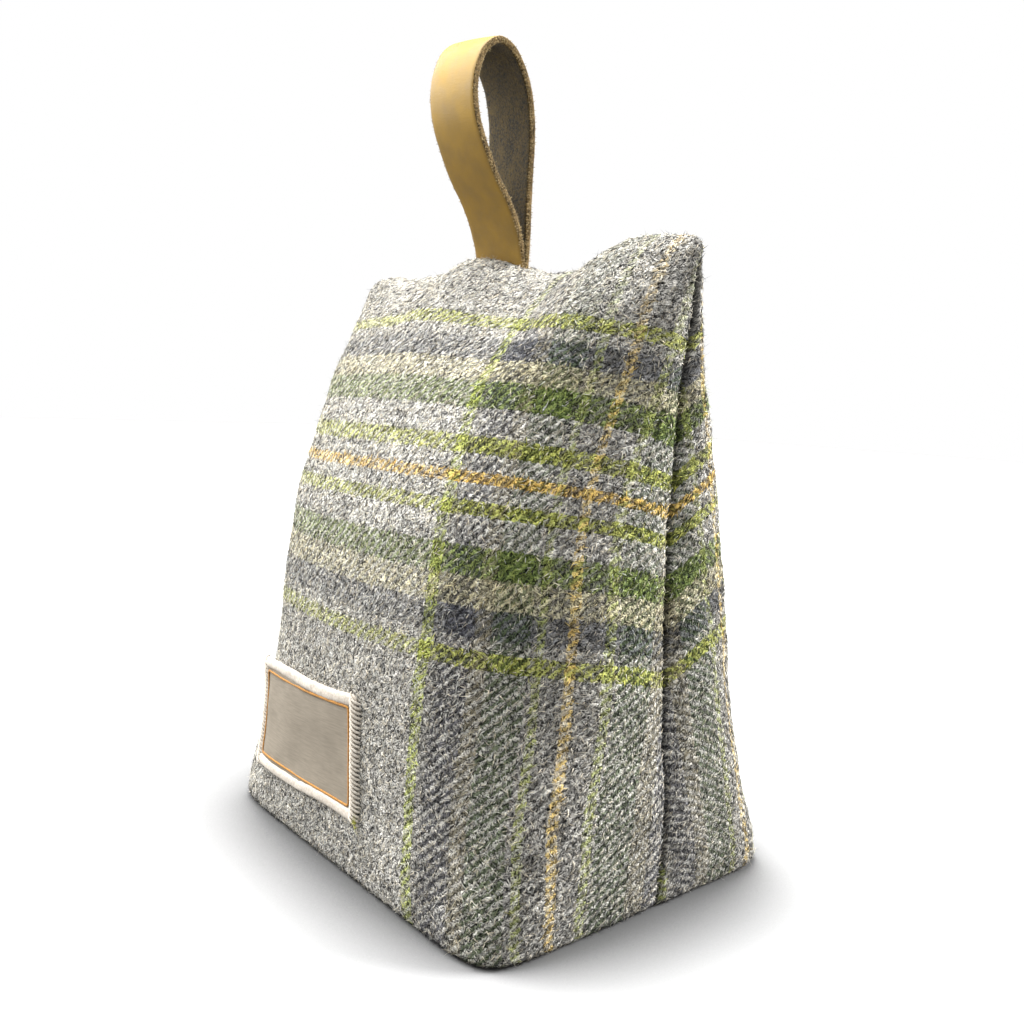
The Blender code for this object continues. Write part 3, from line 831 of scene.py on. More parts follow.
strap = fitted_piece("strap_loop", grid_mesh("strap_loop", STRAP_COLUMNS, STRAP_ROWS, strap_point),
                    "leather", "handle_strap")
pressed = strap.vertex_groups.new(name="not pressed")
for vert in strap.data.vertices:
    pressed.add([vert.index], min(1.0, max(0.0, (vert.co.z - STRAP_SEAT) / STRAP_PRESSED_REACH)), "REPLACE")
hide = strap.modifiers.new("Hide thickness", "SOLIDIFY")
hide.thickness = STRAP_THICKNESS
hide.vertex_group = "not pressed"
hide.thickness_vertex_group = STRAP_PRESSED
hide.offset = 0.0
hide.use_even_offset = True
hide.material_offset = 1
hide.material_offset_rim = 2
cut = strap.modifiers.new("Cut edges", "BEVEL")
cut.width = STRAP_EDGE_ROUNDING
cut.segments = 2
cut.profile = 0.5
cut.limit_method = "ANGLE"
cut.angle_limit = math.radians(SHARP_EDGE_DEGREES)


# The leather's colours, and the heights between which its golden grain darkens towards the ridge: partly a
# deeper tone and partly painted shade.
GRAIN_TONE_AND_SHADE_HEIGHTS = (0.250, 0.290)
GRAIN_DEEP_TONE_AND_SHADE = (0.236, 0.135, 0.012, 1.0)
GRAIN_GOLD = (0.440, 0.262, 0.030, 1.0)
GRAIN_RUBBED = (0.20, 0.13, 0.045, 1.0)
RUBBED_WIDTH = 0.0016
RUBBED_SHARE = 0.55
PORE_SCALE = 2600.0
GRAIN_RELIEF = 0.00014
SUEDE_RELIEF = 0.0007
CUT_RELIEF = 0.0005
SUEDE_COLOURS = ((0.126, 0.082, 0.015, 1.0), (0.010, 0.006, 0.001, 1.0))
CUT_COLOURS = ((0.30, 0.20, 0.085, 1.0), (0.050, 0.032, 0.013, 1.0))


def leather_grain(material):
    """Golden grain: smooth and a little waxy, with fine pores, soft blotches and a darker tone low down that
    is partly painted shade.
    """
    tree = material.node_tree
    shader = tree.nodes["Principled BSDF"]
    flat = cloth_place(tree)
    solid = add_node(tree, "ShaderNodeTexCoord").outputs["Object"]
    height = add_node(tree, "ShaderNodeSeparateXYZ", feeds={0: solid}).outputs[2]
    side = reckon(tree, "ABSOLUTE", add_node(tree, "ShaderNodeSeparateXYZ", feeds={0: flat}).outputs[0])
    blotch = add_node(tree, "ShaderNodeTexNoise", feeds={"Vector": flat, "Scale": 95.0, "Detail": 4.0})
    # Darker low down towards the ridge: partly the leather's deeper tone, partly painted shade where less
    # light falls.
    tone = blend_colours(tree, "MIX", between(tree, height, *GRAIN_TONE_AND_SHADE_HEIGHTS), GRAIN_DEEP_TONE_AND_SHADE, GRAIN_GOLD)
    tone = blend_colours(tree, "MULTIPLY", 1.0, tone,
                         between_grey(tree, between(tree, blotch.outputs[0], 0.32, 0.66), 0.80, 1.10))
    pores = add_node(tree, "ShaderNodeTexVoronoi", feeds={"Vector": flat, "Scale": PORE_SCALE})
    pitted = between(tree, pores.outputs["Distance"], 0.02, 0.35)
    tone = blend_colours(tree, "MULTIPLY", 0.5, tone, between_grey(tree, pitted, 0.72, 1.0))
    rubbed = between(tree, side, STRAP_WIDTH / 2.0 - RUBBED_WIDTH, STRAP_WIDTH / 2.0)
    tone = blend_colours(tree, "MIX", reckon(tree, "MULTIPLY", rubbed, RUBBED_SHARE), tone, GRAIN_RUBBED)
    tree.links.new(tone, shader.inputs["Base Color"])
    creases = stretched_noise(tree, flat, 4.0, 240.0, 1500.0, 3.0)
    relief = reckon(tree, "MULTIPLY_ADD", creases, 0.5, pitted)
    add_relief(tree, 0.55, GRAIN_RELIEF, relief)
    tree.links.new(between(tree, blotch.outputs[0], 0.3, 0.7, 0.46, 0.60), shader.inputs["Roughness"])
    finish(shader, {"Specular IOR Level": 0.22})


def suede_side(material, pale, deep, relief_depth):
    """Raw suede or a cut edge: matt, with matted fibres."""
    tree = material.node_tree
    shader = tree.nodes["Principled BSDF"]
    solid = add_node(tree, "ShaderNodeTexCoord").outputs["Object"]
    fibre = add_node(tree, "ShaderNodeTexNoise", feeds={
        "Vector": solid, "Scale": 1350.0, "Detail": 3.0, "Roughness": 0.7, "Distortion": 0.8})
    cloud = add_node(tree, "ShaderNodeTexNoise", feeds={"Vector": solid, "Scale": 160.0, "Detail": 2.0})
    matted = reckon(tree, "MULTIPLY_ADD", cloud.outputs[0], 0.25, fibre.outputs[0])
    tree.links.new(blend_colours(tree, "MIX", between(tree, matted, 0.50, 0.76), deep, pale),
                   shader.inputs["Base Color"])
    add_relief(tree, 0.8, relief_depth, fibre.outputs[0])
    finish(shader, {"Roughness": 0.95, "Specular IOR Level": 0.12, "Sheen Weight": 0.15})


grain = new_material("golden leather grain")
leather_grain(grain)
suede = new_material("raw suede inside")
suede_side(suede, *SUEDE_COLOURS, SUEDE_RELIEF)
cut_edge = new_material("cut leather edge")
suede_side(cut_edge, *CUT_COLOURS, CUT_RELIEF)
for material in (grain, suede, cut_edge):
    strap.data.materials.append(material)

# The fur of the cut edges: short fibres that the knife left standing along both sides of the strap.
FUR_COUNT = 5200
FUR_LENGTH = (0.0004, 0.0011)
FUR_WIDTH = (0.00012, 0.00030)
FUR_LAYER = 0.96
FUR_ROOT_DEPTH = 0.00010
FUR_OUTWARD = 0.45
FUR_SPREAD = 0.7
FUR_COLOURS = ((0.62, 0.47, 0.22, 1.0), (0.13, 0.085, 0.030, 1.0))
FUR_RELIEF = 0.0001
FIBRE_LOWEST = 0.00015


def fibre_mesh(name, roots, ways, lengths, widths, flat=None, shades=None, outs=None):
    """Many closed tapered fibres as one mesh: each a three-sided spike from its root along its way."""
    count = len(roots)
    ways = ways / np.linalg.norm(ways, axis=1, keepdims=True)
    helper = np.where(np.abs(ways[:, 2:3]) < 0.8, np.array([[0.0, 0.0, 1.0]]), np.array([[1.0, 0.0, 0.0]]))
    first = np.cross(ways, helper)
    first /= np.linalg.norm(first, axis=1, keepdims=True)
    second = np.cross(ways, first)
    corners = np.empty((count, 4, 3))
    for number in range(3):
        turn = 2.0 * math.pi * number / 3.0
        corners[:, number] = roots + widths[:, None] * (math.cos(turn) * first + math.sin(turn) * second)
    corners[:, 3] = roots + ways * lengths[:, None]
    corners[:, :, 2] = np.maximum(corners[:, :, 2], FIBRE_LOWEST)
    spike = np.array([[0, 2, 1], [0, 1, 3], [1, 2, 3], [2, 0, 3]])
    faces = (np.arange(count)[:, None, None] * 4 + spike[None]).reshape(-1, 3)
    made = bpy.data.meshes.new(name)
    made.vertices.add(count * 4)
    made.vertices.foreach_set("co", corners.ravel())
    made.loops.add(len(faces) * 3)
    made.loops.foreach_set("vertex_index", faces.ravel().astype(np.int32))
    made.polygons.add(len(faces))
    made.polygons.foreach_set("loop_start", np.arange(0, len(faces) * 3, 3, dtype=np.int32))
    made.update(calc_edges=True)
    if flat is not None:
        made.uv_layers.new(name="cloth")
        made.uv_layers["cloth"].data.foreach_set("uv", np.repeat(flat, 12, axis=0).ravel())
    if shades is not None:
        shade = made.attributes.new("shade", "FLOAT", "POINT")
        shade.data.foreach_set("value", np.repeat(shades, 4).astype(np.float32))
    if outs is not None:
        facing = made.attributes.new("cloth_facing", "FLOAT_VECTOR", "POINT")
        facing.data.foreach_set("vector", np.repeat(outs, 4, axis=0).astype(np.float32).ravel())
    made.validate()
    return made


chance = np.random.default_rng(41)
fur_up = chance.random(FUR_COUNT)
fur_side = np.where(chance.random(FUR_COUNT) < 0.5, -1.0, 1.0)
fur_row = np.clip((fur_up * STRAP_ROWS).astype(int), 3, STRAP_ROWS - 3)
fur_layer = (chance.random(FUR_COUNT) - 0.5) * STRAP_THICKNESS * FUR_LAYER
fur_line = strap_line[fur_row] + strap_outward[fur_row] * fur_layer[:, None]
fur_line[:, 0] -= fur_side / 2.0 * STRAP_SWING * np.sin(math.pi * fur_up) * fur_up ** 2
fur_line[:, 1] *= 1.0 - fur_side / 2.0 * STRAP_SLANT
fur_roots = np.column_stack([fur_side * (STRAP_WIDTH / 2.0 - FUR_ROOT_DEPTH), fur_line])
fur_ways = np.column_stack([fur_side * FUR_OUTWARD, chance.normal(0.0, FUR_SPREAD, (FUR_COUNT, 2))])
stand = np.array(strap_stand)
fur_roots = fur_roots @ stand[:3, :3].T + stand[:3, 3]
fur_ways = fur_ways @ stand[:3, :3].T
fur = fitted_piece("strap_edge_fur", fibre_mesh(
    "strap_edge_fur", fur_roots, fur_ways, chance.uniform(*FUR_LENGTH, FUR_COUNT),
    chance.uniform(*FUR_WIDTH, FUR_COUNT) / 2.0), "leather")
fur_finish = new_material("edge fur")
suede_side(fur_finish, *FUR_COLOURS, FUR_RELIEF)
fur.data.materials.append(fur_finish)


# Label: a small patch of pale closely woven cloth, sewn flat to the lower left of the front panel. It
# is left bare. Its long edges are rolled under in a soft band, and the short ones are overlocked.
LABEL_LEFT = -0.0635
LABEL_RIGHT = 0.0165
LABEL_BOTTOM = 0.0228
LABEL_TOP = 0.0686
LABEL_BOTTOM_SLOPE = 0.040
LABEL_TOP_SLOPE = 0.085
LABEL_THICKNESS = 0.0008
LABEL_COLUMNS = 84
LABEL_ROWS = 44
LABEL_UNDER_BAND = 0.0030
BAND_WIDTH = 0.0043
BAND_THICKNESS = 0.0018
SIDE_BAND_THICKNESS = 0.0014
LIFTED_CORNER = 0.0021
LIFTED_REACH = 0.009
SEAT_COLUMNS = 30
SEAT_ROWS = 18
SEAT_MARGIN = 0.006
SEAT_STEP = 0.002
SEAT_LOOKED_FROM = 0.02
SEAT_SMOOTHINGS = 3


def panel_point(along, height):
    """A point of the front panel, by its distance round from the middle and its height."""
    section = trace_section("front", height / RIDGE_HEIGHT)
    length = lengths_along(section)
    wanted = length[-1] / 2.0 + along
    return Vector([float(np.interp(wanted, length, section[:, axis])) for axis in range(3)])


def label_height(along, height):
    """The label is sewn on a little askew: both its long edges rise towards its right end."""
    share = (height - LABEL_BOTTOM) / (LABEL_TOP - LABEL_BOTTOM)
    slope = LABEL_BOTTOM_SLOPE + share * (LABEL_TOP_SLOPE - LABEL_BOTTOM_SLOPE)
    return height + slope * (along - LABEL_RIGHT)


def seat_on_cloth(cloth):
    """Points and outward directions of the cloth under and round the label, smoothed."""
    alongs = np.linspace(LABEL_LEFT - SEAT_MARGIN, LABEL_RIGHT + SEAT_MARGIN, SEAT_COLUMNS + 1)
    heights = np.linspace(LABEL_BOTTOM - SEAT_MARGIN, LABEL_TOP + SEAT_MARGIN, SEAT_ROWS + 1)
    places = np.empty((SEAT_ROWS + 1, SEAT_COLUMNS + 1, 3))
    outs = np.empty_like(places)
    for row, height in enumerate(heights):
        for spot, along in enumerate(alongs):
            sewn_at = label_height(along, height)
            across = panel_point(along + SEAT_STEP, sewn_at) - panel_point(along - SEAT_STEP, sewn_at)
            upward = panel_point(along, sewn_at + SEAT_STEP) - panel_point(along, sewn_at - SEAT_STEP)
            outward = across.cross(upward).normalized()
            start = panel_point(along, sewn_at) + outward * SEAT_LOOKED_FROM
            touched = cloth.ray_cast(start, -outward)[0]
            places[row, spot] = touched
            outs[row, spot] = outward
    for _ in range(SEAT_SMOOTHINGS):
        inner = (places[:-2, 1:-1] + places[2:, 1:-1] + places[1:-1, :-2] + places[1:-1, 2:]) / 4.0
        places[1:-1, 1:-1] = 0.5 * places[1:-1, 1:-1] + 0.5 * inner
    return alongs, heights, places, outs


body_tree = BVHTree.FromObject(body, bpy.context.evaluated_depsgraph_get())
seat_alongs, seat_heights, seat_places, seat_outs = seat_on_cloth(body_tree)


def on_label_seat(along, height, lift):
    """A point above the label's seat: its place round the panel and up it, and its lift off the cloth."""
    across = np.clip((along - seat_alongs[0]) / (seat_alongs[1] - seat_alongs[0]), 0, SEAT_COLUMNS - 1e-6)
    up = np.clip((height - seat_heights[0]) / (seat_heights[1] - seat_heights[0]), 0, SEAT_ROWS - 1e-6)
    spot, row = int(across), int(up)
    right, over = across - spot, up - row
    mixed = []
    for field in (seat_places, seat_outs):
        low = field[row, spot] * (1.0 - right) + field[row, spot + 1] * right
        high = field[row + 1, spot] * (1.0 - right) + field[row + 1, spot + 1] * right
        mixed.append(low * (1.0 - over) + high * over)
    corner = math.hypot(along - LABEL_LEFT, height - LABEL_TOP) / LIFTED_REACH
    lift = lift + LIFTED_CORNER * math.exp(-corner ** 2)
    return Vector(mixed[0]) + Vector(mixed[1]).normalized() * lift


PATCH_LEFT = LABEL_LEFT + LABEL_UNDER_BAND
PATCH_RIGHT = LABEL_RIGHT - LABEL_UNDER_BAND
PATCH_BOTTOM = LABEL_BOTTOM + LABEL_UNDER_BAND
PATCH_TOP = LABEL_TOP - LABEL_UNDER_BAND
PATCH_LIFT = 0.0007
PUCKER_HEIGHT = 0.00028
PUCKER_SIZE = 0.0060
PUCKER_REACH = 0.12
SWELL_HEIGHT = 0.0004
SWELL_SIZE = 0.021


def patch_point(across, up):
    """A point of the patch's under side, which lies on the tweed and puckers a little at its rim."""
    along = PATCH_LEFT + across * (PATCH_RIGHT - PATCH_LEFT)
    height = PATCH_BOTTOM + up * (PATCH_TOP - PATCH_BOTTOM)
    rim = min(across, 1.0 - across, up, 1.0 - up)
    pucker = PUCKER_HEIGHT * noise.noise(Vector((along, height, 0.0)) / PUCKER_SIZE)
    pucker *= math.exp(-rim / PUCKER_REACH)
    swell = SWELL_HEIGHT * noise.noise(Vector((along, height, 0.02)) / SWELL_SIZE)
    return on_label_seat(along, height, PATCH_LIFT + pucker + swell), (along, height)


patch_mesh = grid_mesh("label_cloth", LABEL_COLUMNS, LABEL_ROWS, patch_point)
patch = fitted_piece("label_cloth", patch_mesh, "label_cloth", "label_patch")
ply = patch.modifiers.new("Cloth thickness", "SOLIDIFY")
ply.thickness = LABEL_THICKNESS
ply.offset = 1.0


# The label's cloth: how far apart its yarns lie each way, and its two tones.
LABEL_YARNS = (0.00042, 0.00036)
LABEL_TONES = ((0.258, 0.223, 0.174, 1.0), (0.315, 0.273, 0.215, 1.0))
LABEL_SLUBS = (130.0, 1900.0)
FINE_RELIEF = 0.00012


def label_weave(material):
    """Fine plain weave in two tones, with slubs along its yarns and soft clouding."""
    tree = material.node_tree
    shader = tree.nodes["Principled BSDF"]
    flat = cloth_place(tree)
    parts = add_node(tree, "ShaderNodeSeparateXYZ", feeds={0: flat})
    ribs = []
    for socket, pitch in zip((parts.outputs[0], parts.outputs[1]), LABEL_YARNS):
        turn = reckon(tree, "MULTIPLY", socket, 2.0 * math.pi / pitch)
        ribs.append(reckon(tree, "COSINE", turn))
    weave = reckon(tree, "MULTIPLY_ADD", reckon(tree, "MULTIPLY", ribs[0], ribs[1]), 0.5, 0.5)
    slub = stretched_noise(tree, flat, 0.0, *LABEL_SLUBS, 2.0)
    cloud = add_node(tree, "ShaderNodeTexNoise", feeds={"Vector": flat, "Scale": 120.0, "Detail": 3.0})
    clouding = between(tree, cloud.outputs[0], 0.3, 0.7)
    tone = blend_colours(tree, "MIX", between(tree, slub, 0.3, 0.7), *LABEL_TONES)
    tone = blend_colours(tree, "MULTIPLY", 1.0, tone, between_grey(tree, weave, 0.86, 1.0))
    tone = blend_colours(tree, "MULTIPLY", 1.0, tone, between_grey(tree, clouding, 0.93, 1.04))
    tree.links.new(tone, shader.inputs["Base Color"])
    add_relief(tree, 0.5, FINE_RELIEF, weave)
    finish(shader, {"Roughness": 0.85, "Specular IOR Level": 0.2})


patch_finish = new_material("pale label weave")
label_weave(patch_finish)
patch.data.materials.append(patch_finish)

# The label's rim: a roll of the same cloth round it, plump along its long edges and flat along its
# short ones, where cream thread is overlocked over it. A fine brown line runs just inside.
RIM_STATION = 0.0011
RIM_CORNER_RADIUS = 0.0013
RIM_CORNER_STEPS = 5
RIM_SIDES = 14
SIDE_ROLL_REACH = 0.30
RIM_SQUARENESS = 0.8
RIM_LIFT = 0.0003
RIM_WRINKLE = 0.34
RIM_WRINKLE_SIZE = 0.0028
RIM_WRINKLE_TURN = 0.004
RIM_UNEVENNESS = 0.05
RIM_UNEVENNESS_SIZE = 0.007
RIM_SAG = 0.0007
LINE_INSET = 0.0052
LINE_CORNER_RADIUS = 0.0012
LINE_SIDES = 6
LINE_UNEVENNESS = 0.3
LINE_UNEVENNESS_SIZE = 0.002
LINE_WIDTH = 0.00100
LINE_THICKNESS = 0.00060
LINE_RAISED = 0.00012
STITCH_PITCH = 0.00165
STITCH_THICKNESS = 0.00088
STITCH_SLANT = 0.0019
STITCH_ROWS = 9
STITCH_SIDES = 7
STITCH_START = -0.46
STITCH_REACH = 1.04
STITCH_CROWN_AT = 0.92
STITCH_LIFT = 0.0004
STITCH_OVER_RIM = 0.0006
STITCH_WOBBLE = 0.00018
STITCH_PLUMPNESS = 0.15
STITCH_END = 0.72


def rounded_rectangle(inset, radius):
    """Stations round the label at an inset: each a place and its outward way, anticlockwise."""
    left, right = LABEL_LEFT + inset, LABEL_RIGHT - inset
    bottom, top = LABEL_BOTTOM + inset, LABEL_TOP - inset
    corners = ((right, top, 0.0), (left, top, 90.0), (left, bottom, 180.0), (right, bottom, 270.0))
    stations = []
    for number, (x, z, start) in enumerate(corners):
        centre = (x - math.copysign(radius, x - (left + right) / 2.0),
                  z - math.copysign(radius, z - (bottom + top) / 2.0))
        for step in range(RIM_CORNER_STEPS + 1):
            angle = math.radians(start + 90.0 * step / RIM_CORNER_STEPS)
            way = (math.cos(angle), math.sin(angle))
            stations.append((centre[0] + radius * way[0], centre[1] + radius * way[1], way))
        after = corners[(number + 1) % 4]
        run = abs(after[0] - x) + abs(after[1] - z) - 2.0 * radius
        count = max(1, round(run / RIM_STATION))
        travel = (-way[1], way[0])
        last = stations[-1]
        for step in range(1, count):
            reach = run * step / count
            stations.append((last[0] + travel[0] * reach, last[1] + travel[1] * reach, way))
    return stations


def swept_mesh(sheet, stations, sides, place, closed):
    """A tube from a wrapped grid, its points where place says, closed on itself or capped at its ends."""
    fresh = bmesh.ops.create_grid(sheet, x_segments=stations, y_segments=sides, size=1.0)["verts"]
    for vert in fresh:
        station, side = grid_spot(vert, stations, sides)
        if closed:
            station %= stations
        vert.co = place(station, 2.0 * math.pi * (side % sides) / sides)
    bmesh.ops.remove_doubles(sheet, verts=fresh, dist=1e-7)
    fresh = [vert for vert in fresh if vert.is_valid]
    if not closed:
        ends = {edge for vert in fresh for edge in vert.link_edges if edge.is_boundary}
        bmesh.ops.holes_fill(sheet, edges=list(ends), sides=0)


def thread_mesh(name, build):
    """A mesh for thread or band that build sweeps into a fresh bmesh, its faces turned outwards."""
    sheet = bmesh.new()
    build(sheet)
    bmesh.ops.recalc_face_normals(sheet, faces=sheet.faces)
    made = bpy.data.meshes.new(name)
    sheet.to_mesh(made)
    sheet.free()
    made.shade_smooth()
    return made


rim_stations = rounded_rectangle(BAND_WIDTH / 2.0, RIM_CORNER_RADIUS)


def squarish(value):
    """A sine or cosine made a little square, as a rolled and pressed edge is."""
    return math.copysign(abs(value) ** RIM_SQUARENESS, value)


def rim_point(station, angle):
    """A point of the rolled rim, by its station and its angle round the roll."""
    along, height, way = rim_stations[station]
    plump = abs(way[1])
    thick = (SIDE_BAND_THICKNESS + (BAND_THICKNESS - SIDE_BAND_THICKNESS) * plump) / 2.0
    wrinkled_at = Vector((along, height, math.cos(angle) * RIM_WRINKLE_TURN)) / RIM_WRINKLE_SIZE
    wrinkle = 1.0 + RIM_WRINKLE * noise.noise(wrinkled_at)
    uneven = 1.0 + RIM_UNEVENNESS * noise.noise(Vector((along, height, 0.3)) / RIM_UNEVENNESS_SIZE)
    wide = BAND_WIDTH / 2.0 * uneven * squarish(math.cos(angle))
    if wide > 0.0:
        wide *= SIDE_ROLL_REACH + (1.0 - SIDE_ROLL_REACH) * plump
    rise = thick * wrinkle * squarish(math.sin(angle))
    share = (along - LABEL_LEFT) / (LABEL_RIGHT - LABEL_LEFT)
    sag = RIM_SAG * way[1] * math.sin(2.0 * math.pi * share)
    return on_label_seat(along + way[0] * wide, height + way[1] * wide + sag, RIM_LIFT + thick + rise)


def brown_line_point(station, angle):
    """A point of the fine brown line woven round the patch, just inside its rim."""
    along, height, way = line_stations[station]
    uneven = 1.0 + LINE_UNEVENNESS * noise.noise(Vector((along, height, 0.0)) / LINE_UNEVENNESS_SIZE)
    wide = LINE_WIDTH / 2.0 * math.cos(angle) * uneven
    rise = LINE_THICKNESS / 2.0 * math.sin(angle)
    return on_label_seat(along + way[0] * wide, height + way[1] * wide,
                         PATCH_LIFT + LABEL_THICKNESS + LINE_RAISED + rise)


line_stations = rounded_rectangle(LINE_INSET, LINE_CORNER_RADIUS)
rim = fitted_piece("label_rim", thread_mesh("label_rim", lambda sheet: swept_mesh(
    sheet, len(rim_stations), RIM_SIDES, rim_point, True)), "edging_thread", "label_edging")
brown_line = fitted_piece("label_brown_line", thread_mesh("label_brown_line", lambda sheet: swept_mesh(
    sheet, len(line_stations), LINE_SIDES, brown_line_point, True)), "edging_thread")


def stitch_path(side, height, wobble):
    """The run of one overlock stitch, from inside the rim over it and down on to the tweed."""
    rim_middle = LABEL_RIGHT - BAND_WIDTH / 2.0 if side > 0.0 else LABEL_LEFT + BAND_WIDTH / 2.0
    path = []
    for row in range(STITCH_ROWS + 1):
        share = row / STITCH_ROWS
        out = (STITCH_START + STITCH_REACH * share) * BAND_WIDTH
        crown = max(0.0, 1.0 - (2.0 * share - STITCH_CROWN_AT) ** 2 * 0.95)
        lift = STITCH_LIFT + (SIDE_BAND_THICKNESS + STITCH_OVER_RIM) * crown ** 0.7
        slanted = height - side * STITCH_SLANT * (share - 0.5) * 2.0 + wobble
        path.append((rim_middle + side * out, slanted, lift))
    return path


def build_stitches(sheet):
    """All the overlock stitches of the two short edges."""
    count = int((LABEL_TOP - LABEL_BOTTOM - 2.0 * RIM_CORNER_RADIUS) / STITCH_PITCH)
    for side in (-1.0, 1.0):
        for number in range(count + 1):
            height = LABEL_BOTTOM + RIM_CORNER_RADIUS + number * STITCH_PITCH
            wobble = STITCH_WOBBLE * noise.noise(Vector((side, number * 0.73, 2.0)))
            path = stitch_path(side, height, wobble)
            plump = 1.0 + STITCH_PLUMPNESS * noise.noise(Vector((side, number * 1.31, 7.0)))

            def place(row, angle, path=path, plump=plump):
                """A point of this stitch."""
                along, up, lift = path[row]
                end = STITCH_END if row in (0, STITCH_ROWS) else 1.0
                thick = STITCH_THICKNESS / 2.0 * plump * end
                return on_label_seat(along, up + thick * math.cos(angle), lift + thick * math.sin(angle))

            swept_mesh(sheet, STITCH_ROWS, STITCH_SIDES, place, False)


stitches = fitted_piece("label_stitches", thread_mesh("label_stitches", build_stitches), "edging_thread")

# A little tuft of lime and mustard yarn that the sewing pulled out at the label's lower corner.
TUFT_STRANDS = 16
TUFT_LENGTH = 0.0046
TUFT_THICKNESS = 0.00034
TUFT_ROWS = 6
TUFT_SIDES = 5
TUFT_LEAN = 0.9
TUFT_CURL = 0.0010
TUFT_TAPER = 0.75
TUFT_ARCH = 0.0022
TUFT_ROOT = (LABEL_RIGHT - 0.0004, LABEL_BOTTOM + 0.0010)
TUFT_ROOT_LIFT = 0.0007


def build_tuft(sheet):
    """The loose ends: short curled strands."""
    for number in range(TUFT_STRANDS):
        lean = chance.normal(0.0, TUFT_LEAN)
        curl = chance.normal(0.0, TUFT_CURL)
        reach = TUFT_LENGTH * chance.uniform(0.5, 1.0)

        def place(row, angle, lean=lean, curl=curl, reach=reach):
            """A point of this strand."""
            share = row / TUFT_ROWS
            along = TUFT_ROOT[0] + reach * share * (0.25 + 0.5 * math.sin(lean))
            height = TUFT_ROOT[1] + reach * share * 0.45 * math.cos(2.0 * lean) + curl * share ** 2
            thick = TUFT_THICKNESS / 2.0 * (1.0 - TUFT_TAPER * share)
            lift = TUFT_ROOT_LIFT + TUFT_ARCH * math.sin(math.pi * 0.75 * share)
            return on_label_seat(along, height + thick * math.cos(angle), lift + thick * math.sin(angle))

        swept_mesh(sheet, TUFT_ROWS, TUFT_SIDES, place, False)


tuft = fitted_piece("label_yarn_tuft", thread_mesh("label_yarn_tuft", build_tuft), "tweed")


def spun_thread(material, pale, deep, scale):
    """Soft spun thread or rolled cloth: fine streaks and a matt surface."""
    tree = material.node_tree
    shader = tree.nodes["Principled BSDF"]
    solid = add_node(tree, "ShaderNodeTexCoord").outputs["Object"]
    streak = add_node(tree, "ShaderNodeTexNoise", feeds={
        "Vector": solid, "Scale": scale, "Detail": 3.0, "Roughness": 0.6})
    share = between(tree, streak.outputs[0], 0.32, 0.62)
    tree.links.new(blend_colours(tree, "MIX", share, deep, pale), shader.inputs["Base Color"])
    add_relief(tree, 0.5, FINE_RELIEF, streak.outputs[0])
    finish(shader, {"Roughness": 0.85, "Specular IOR Level": 0.2, "Sheen Weight": 0.1})


for piece, name, pale, deep, scale in (
        (rim, "cream rolled rim", (0.64, 0.585, 0.51, 1.0), (0.46, 0.395, 0.315, 1.0), 1400.0),
        (stitches, "cream overlock thread", (0.72, 0.67, 0.59, 1.0), (0.50, 0.44, 0.36, 1.0), 1900.0),
        (brown_line, "brown woven line", (0.46, 0.215, 0.040, 1.0), (0.25, 0.11, 0.022, 1.0), 1700.0),
        (tuft, "loose lime yarn", (0.48, 0.46, 0.10, 1.0), (0.20, 0.22, 0.05, 1.0), 900.0)):
    thread = new_material(name)
    spun_thread(thread, pale, deep, scale)
    piece.data.materials.append(thread)


# Nap: the fulled wool's own fibres, brushed up off both panels. They lie nearly flat, mostly along the
# twill, pale and dark mixed as the fleece was. None stand under the label or on the strap.
NAP_LENGTH = (0.0010, 0.0029)
NAP_WIDTH = (0.00020, 0.00044)
NAP_PIECES = (("nap_front_low", "front", 0.000, 0.105), ("nap_front_high", "front", 0.105, 0.230),
              ("nap_back_low", "back", 0.000, 0.105), ("nap_back_high", "back", 0.105, 0.230))
NAP_PER_PIECE = 47000
NAP_LIFT_DEGREES = (3.0, 17.0)
NAP_STRAY_SHARE = 0.07
NAP_STRAY_LIFT_DEGREES = (20.0, 60.0)
NAP_STRAY_LENGTH = 1.3
NAP_STRAY_WIDTH = 0.4
NAP_ALONG_TWILL = 0.45
NAP_TWILL_SPREAD = 0.35
NAP_OFF_SEAM = 0.0011
NAP_OFF_FLOOR = 0.0006
NAP_ROOT_DEPTH = 0.00003
LABEL_NEARBY = 0.01
LABEL_LOOKED_FOR = (0.002, 0.008)

# A fibre's shade runs from 0 to 1: the first are dark, the rest dyed, and the last pale. Some are undyed.
NAP_DARK_UP_TO = (0.33, 0.41)
NAP_PALE_FROM = (0.54, 0.66)
NAP_UNDYED = (0.84, 0.86)
NAP_UNDYED_SHARE = 0.75
NAP_DARK = (0.085, 0.085, 0.095, 1.0)
NAP_DYED = (1.42, 1.42, 1.42, 1.0)
NAP_COOL = (0.93, 0.99, 1.02, 1.0)
NAP_WARM = (1.16, 1.04, 0.84, 1.0)
# Painted shade and light from the weave under a fibre: its lightness in the weave's hollows and on the yarns'
# crowns.
NAP_HOLLOW_PAINTED_SHADES = (0.50, 1.15)
NAP_OWN_FACING = 0.45

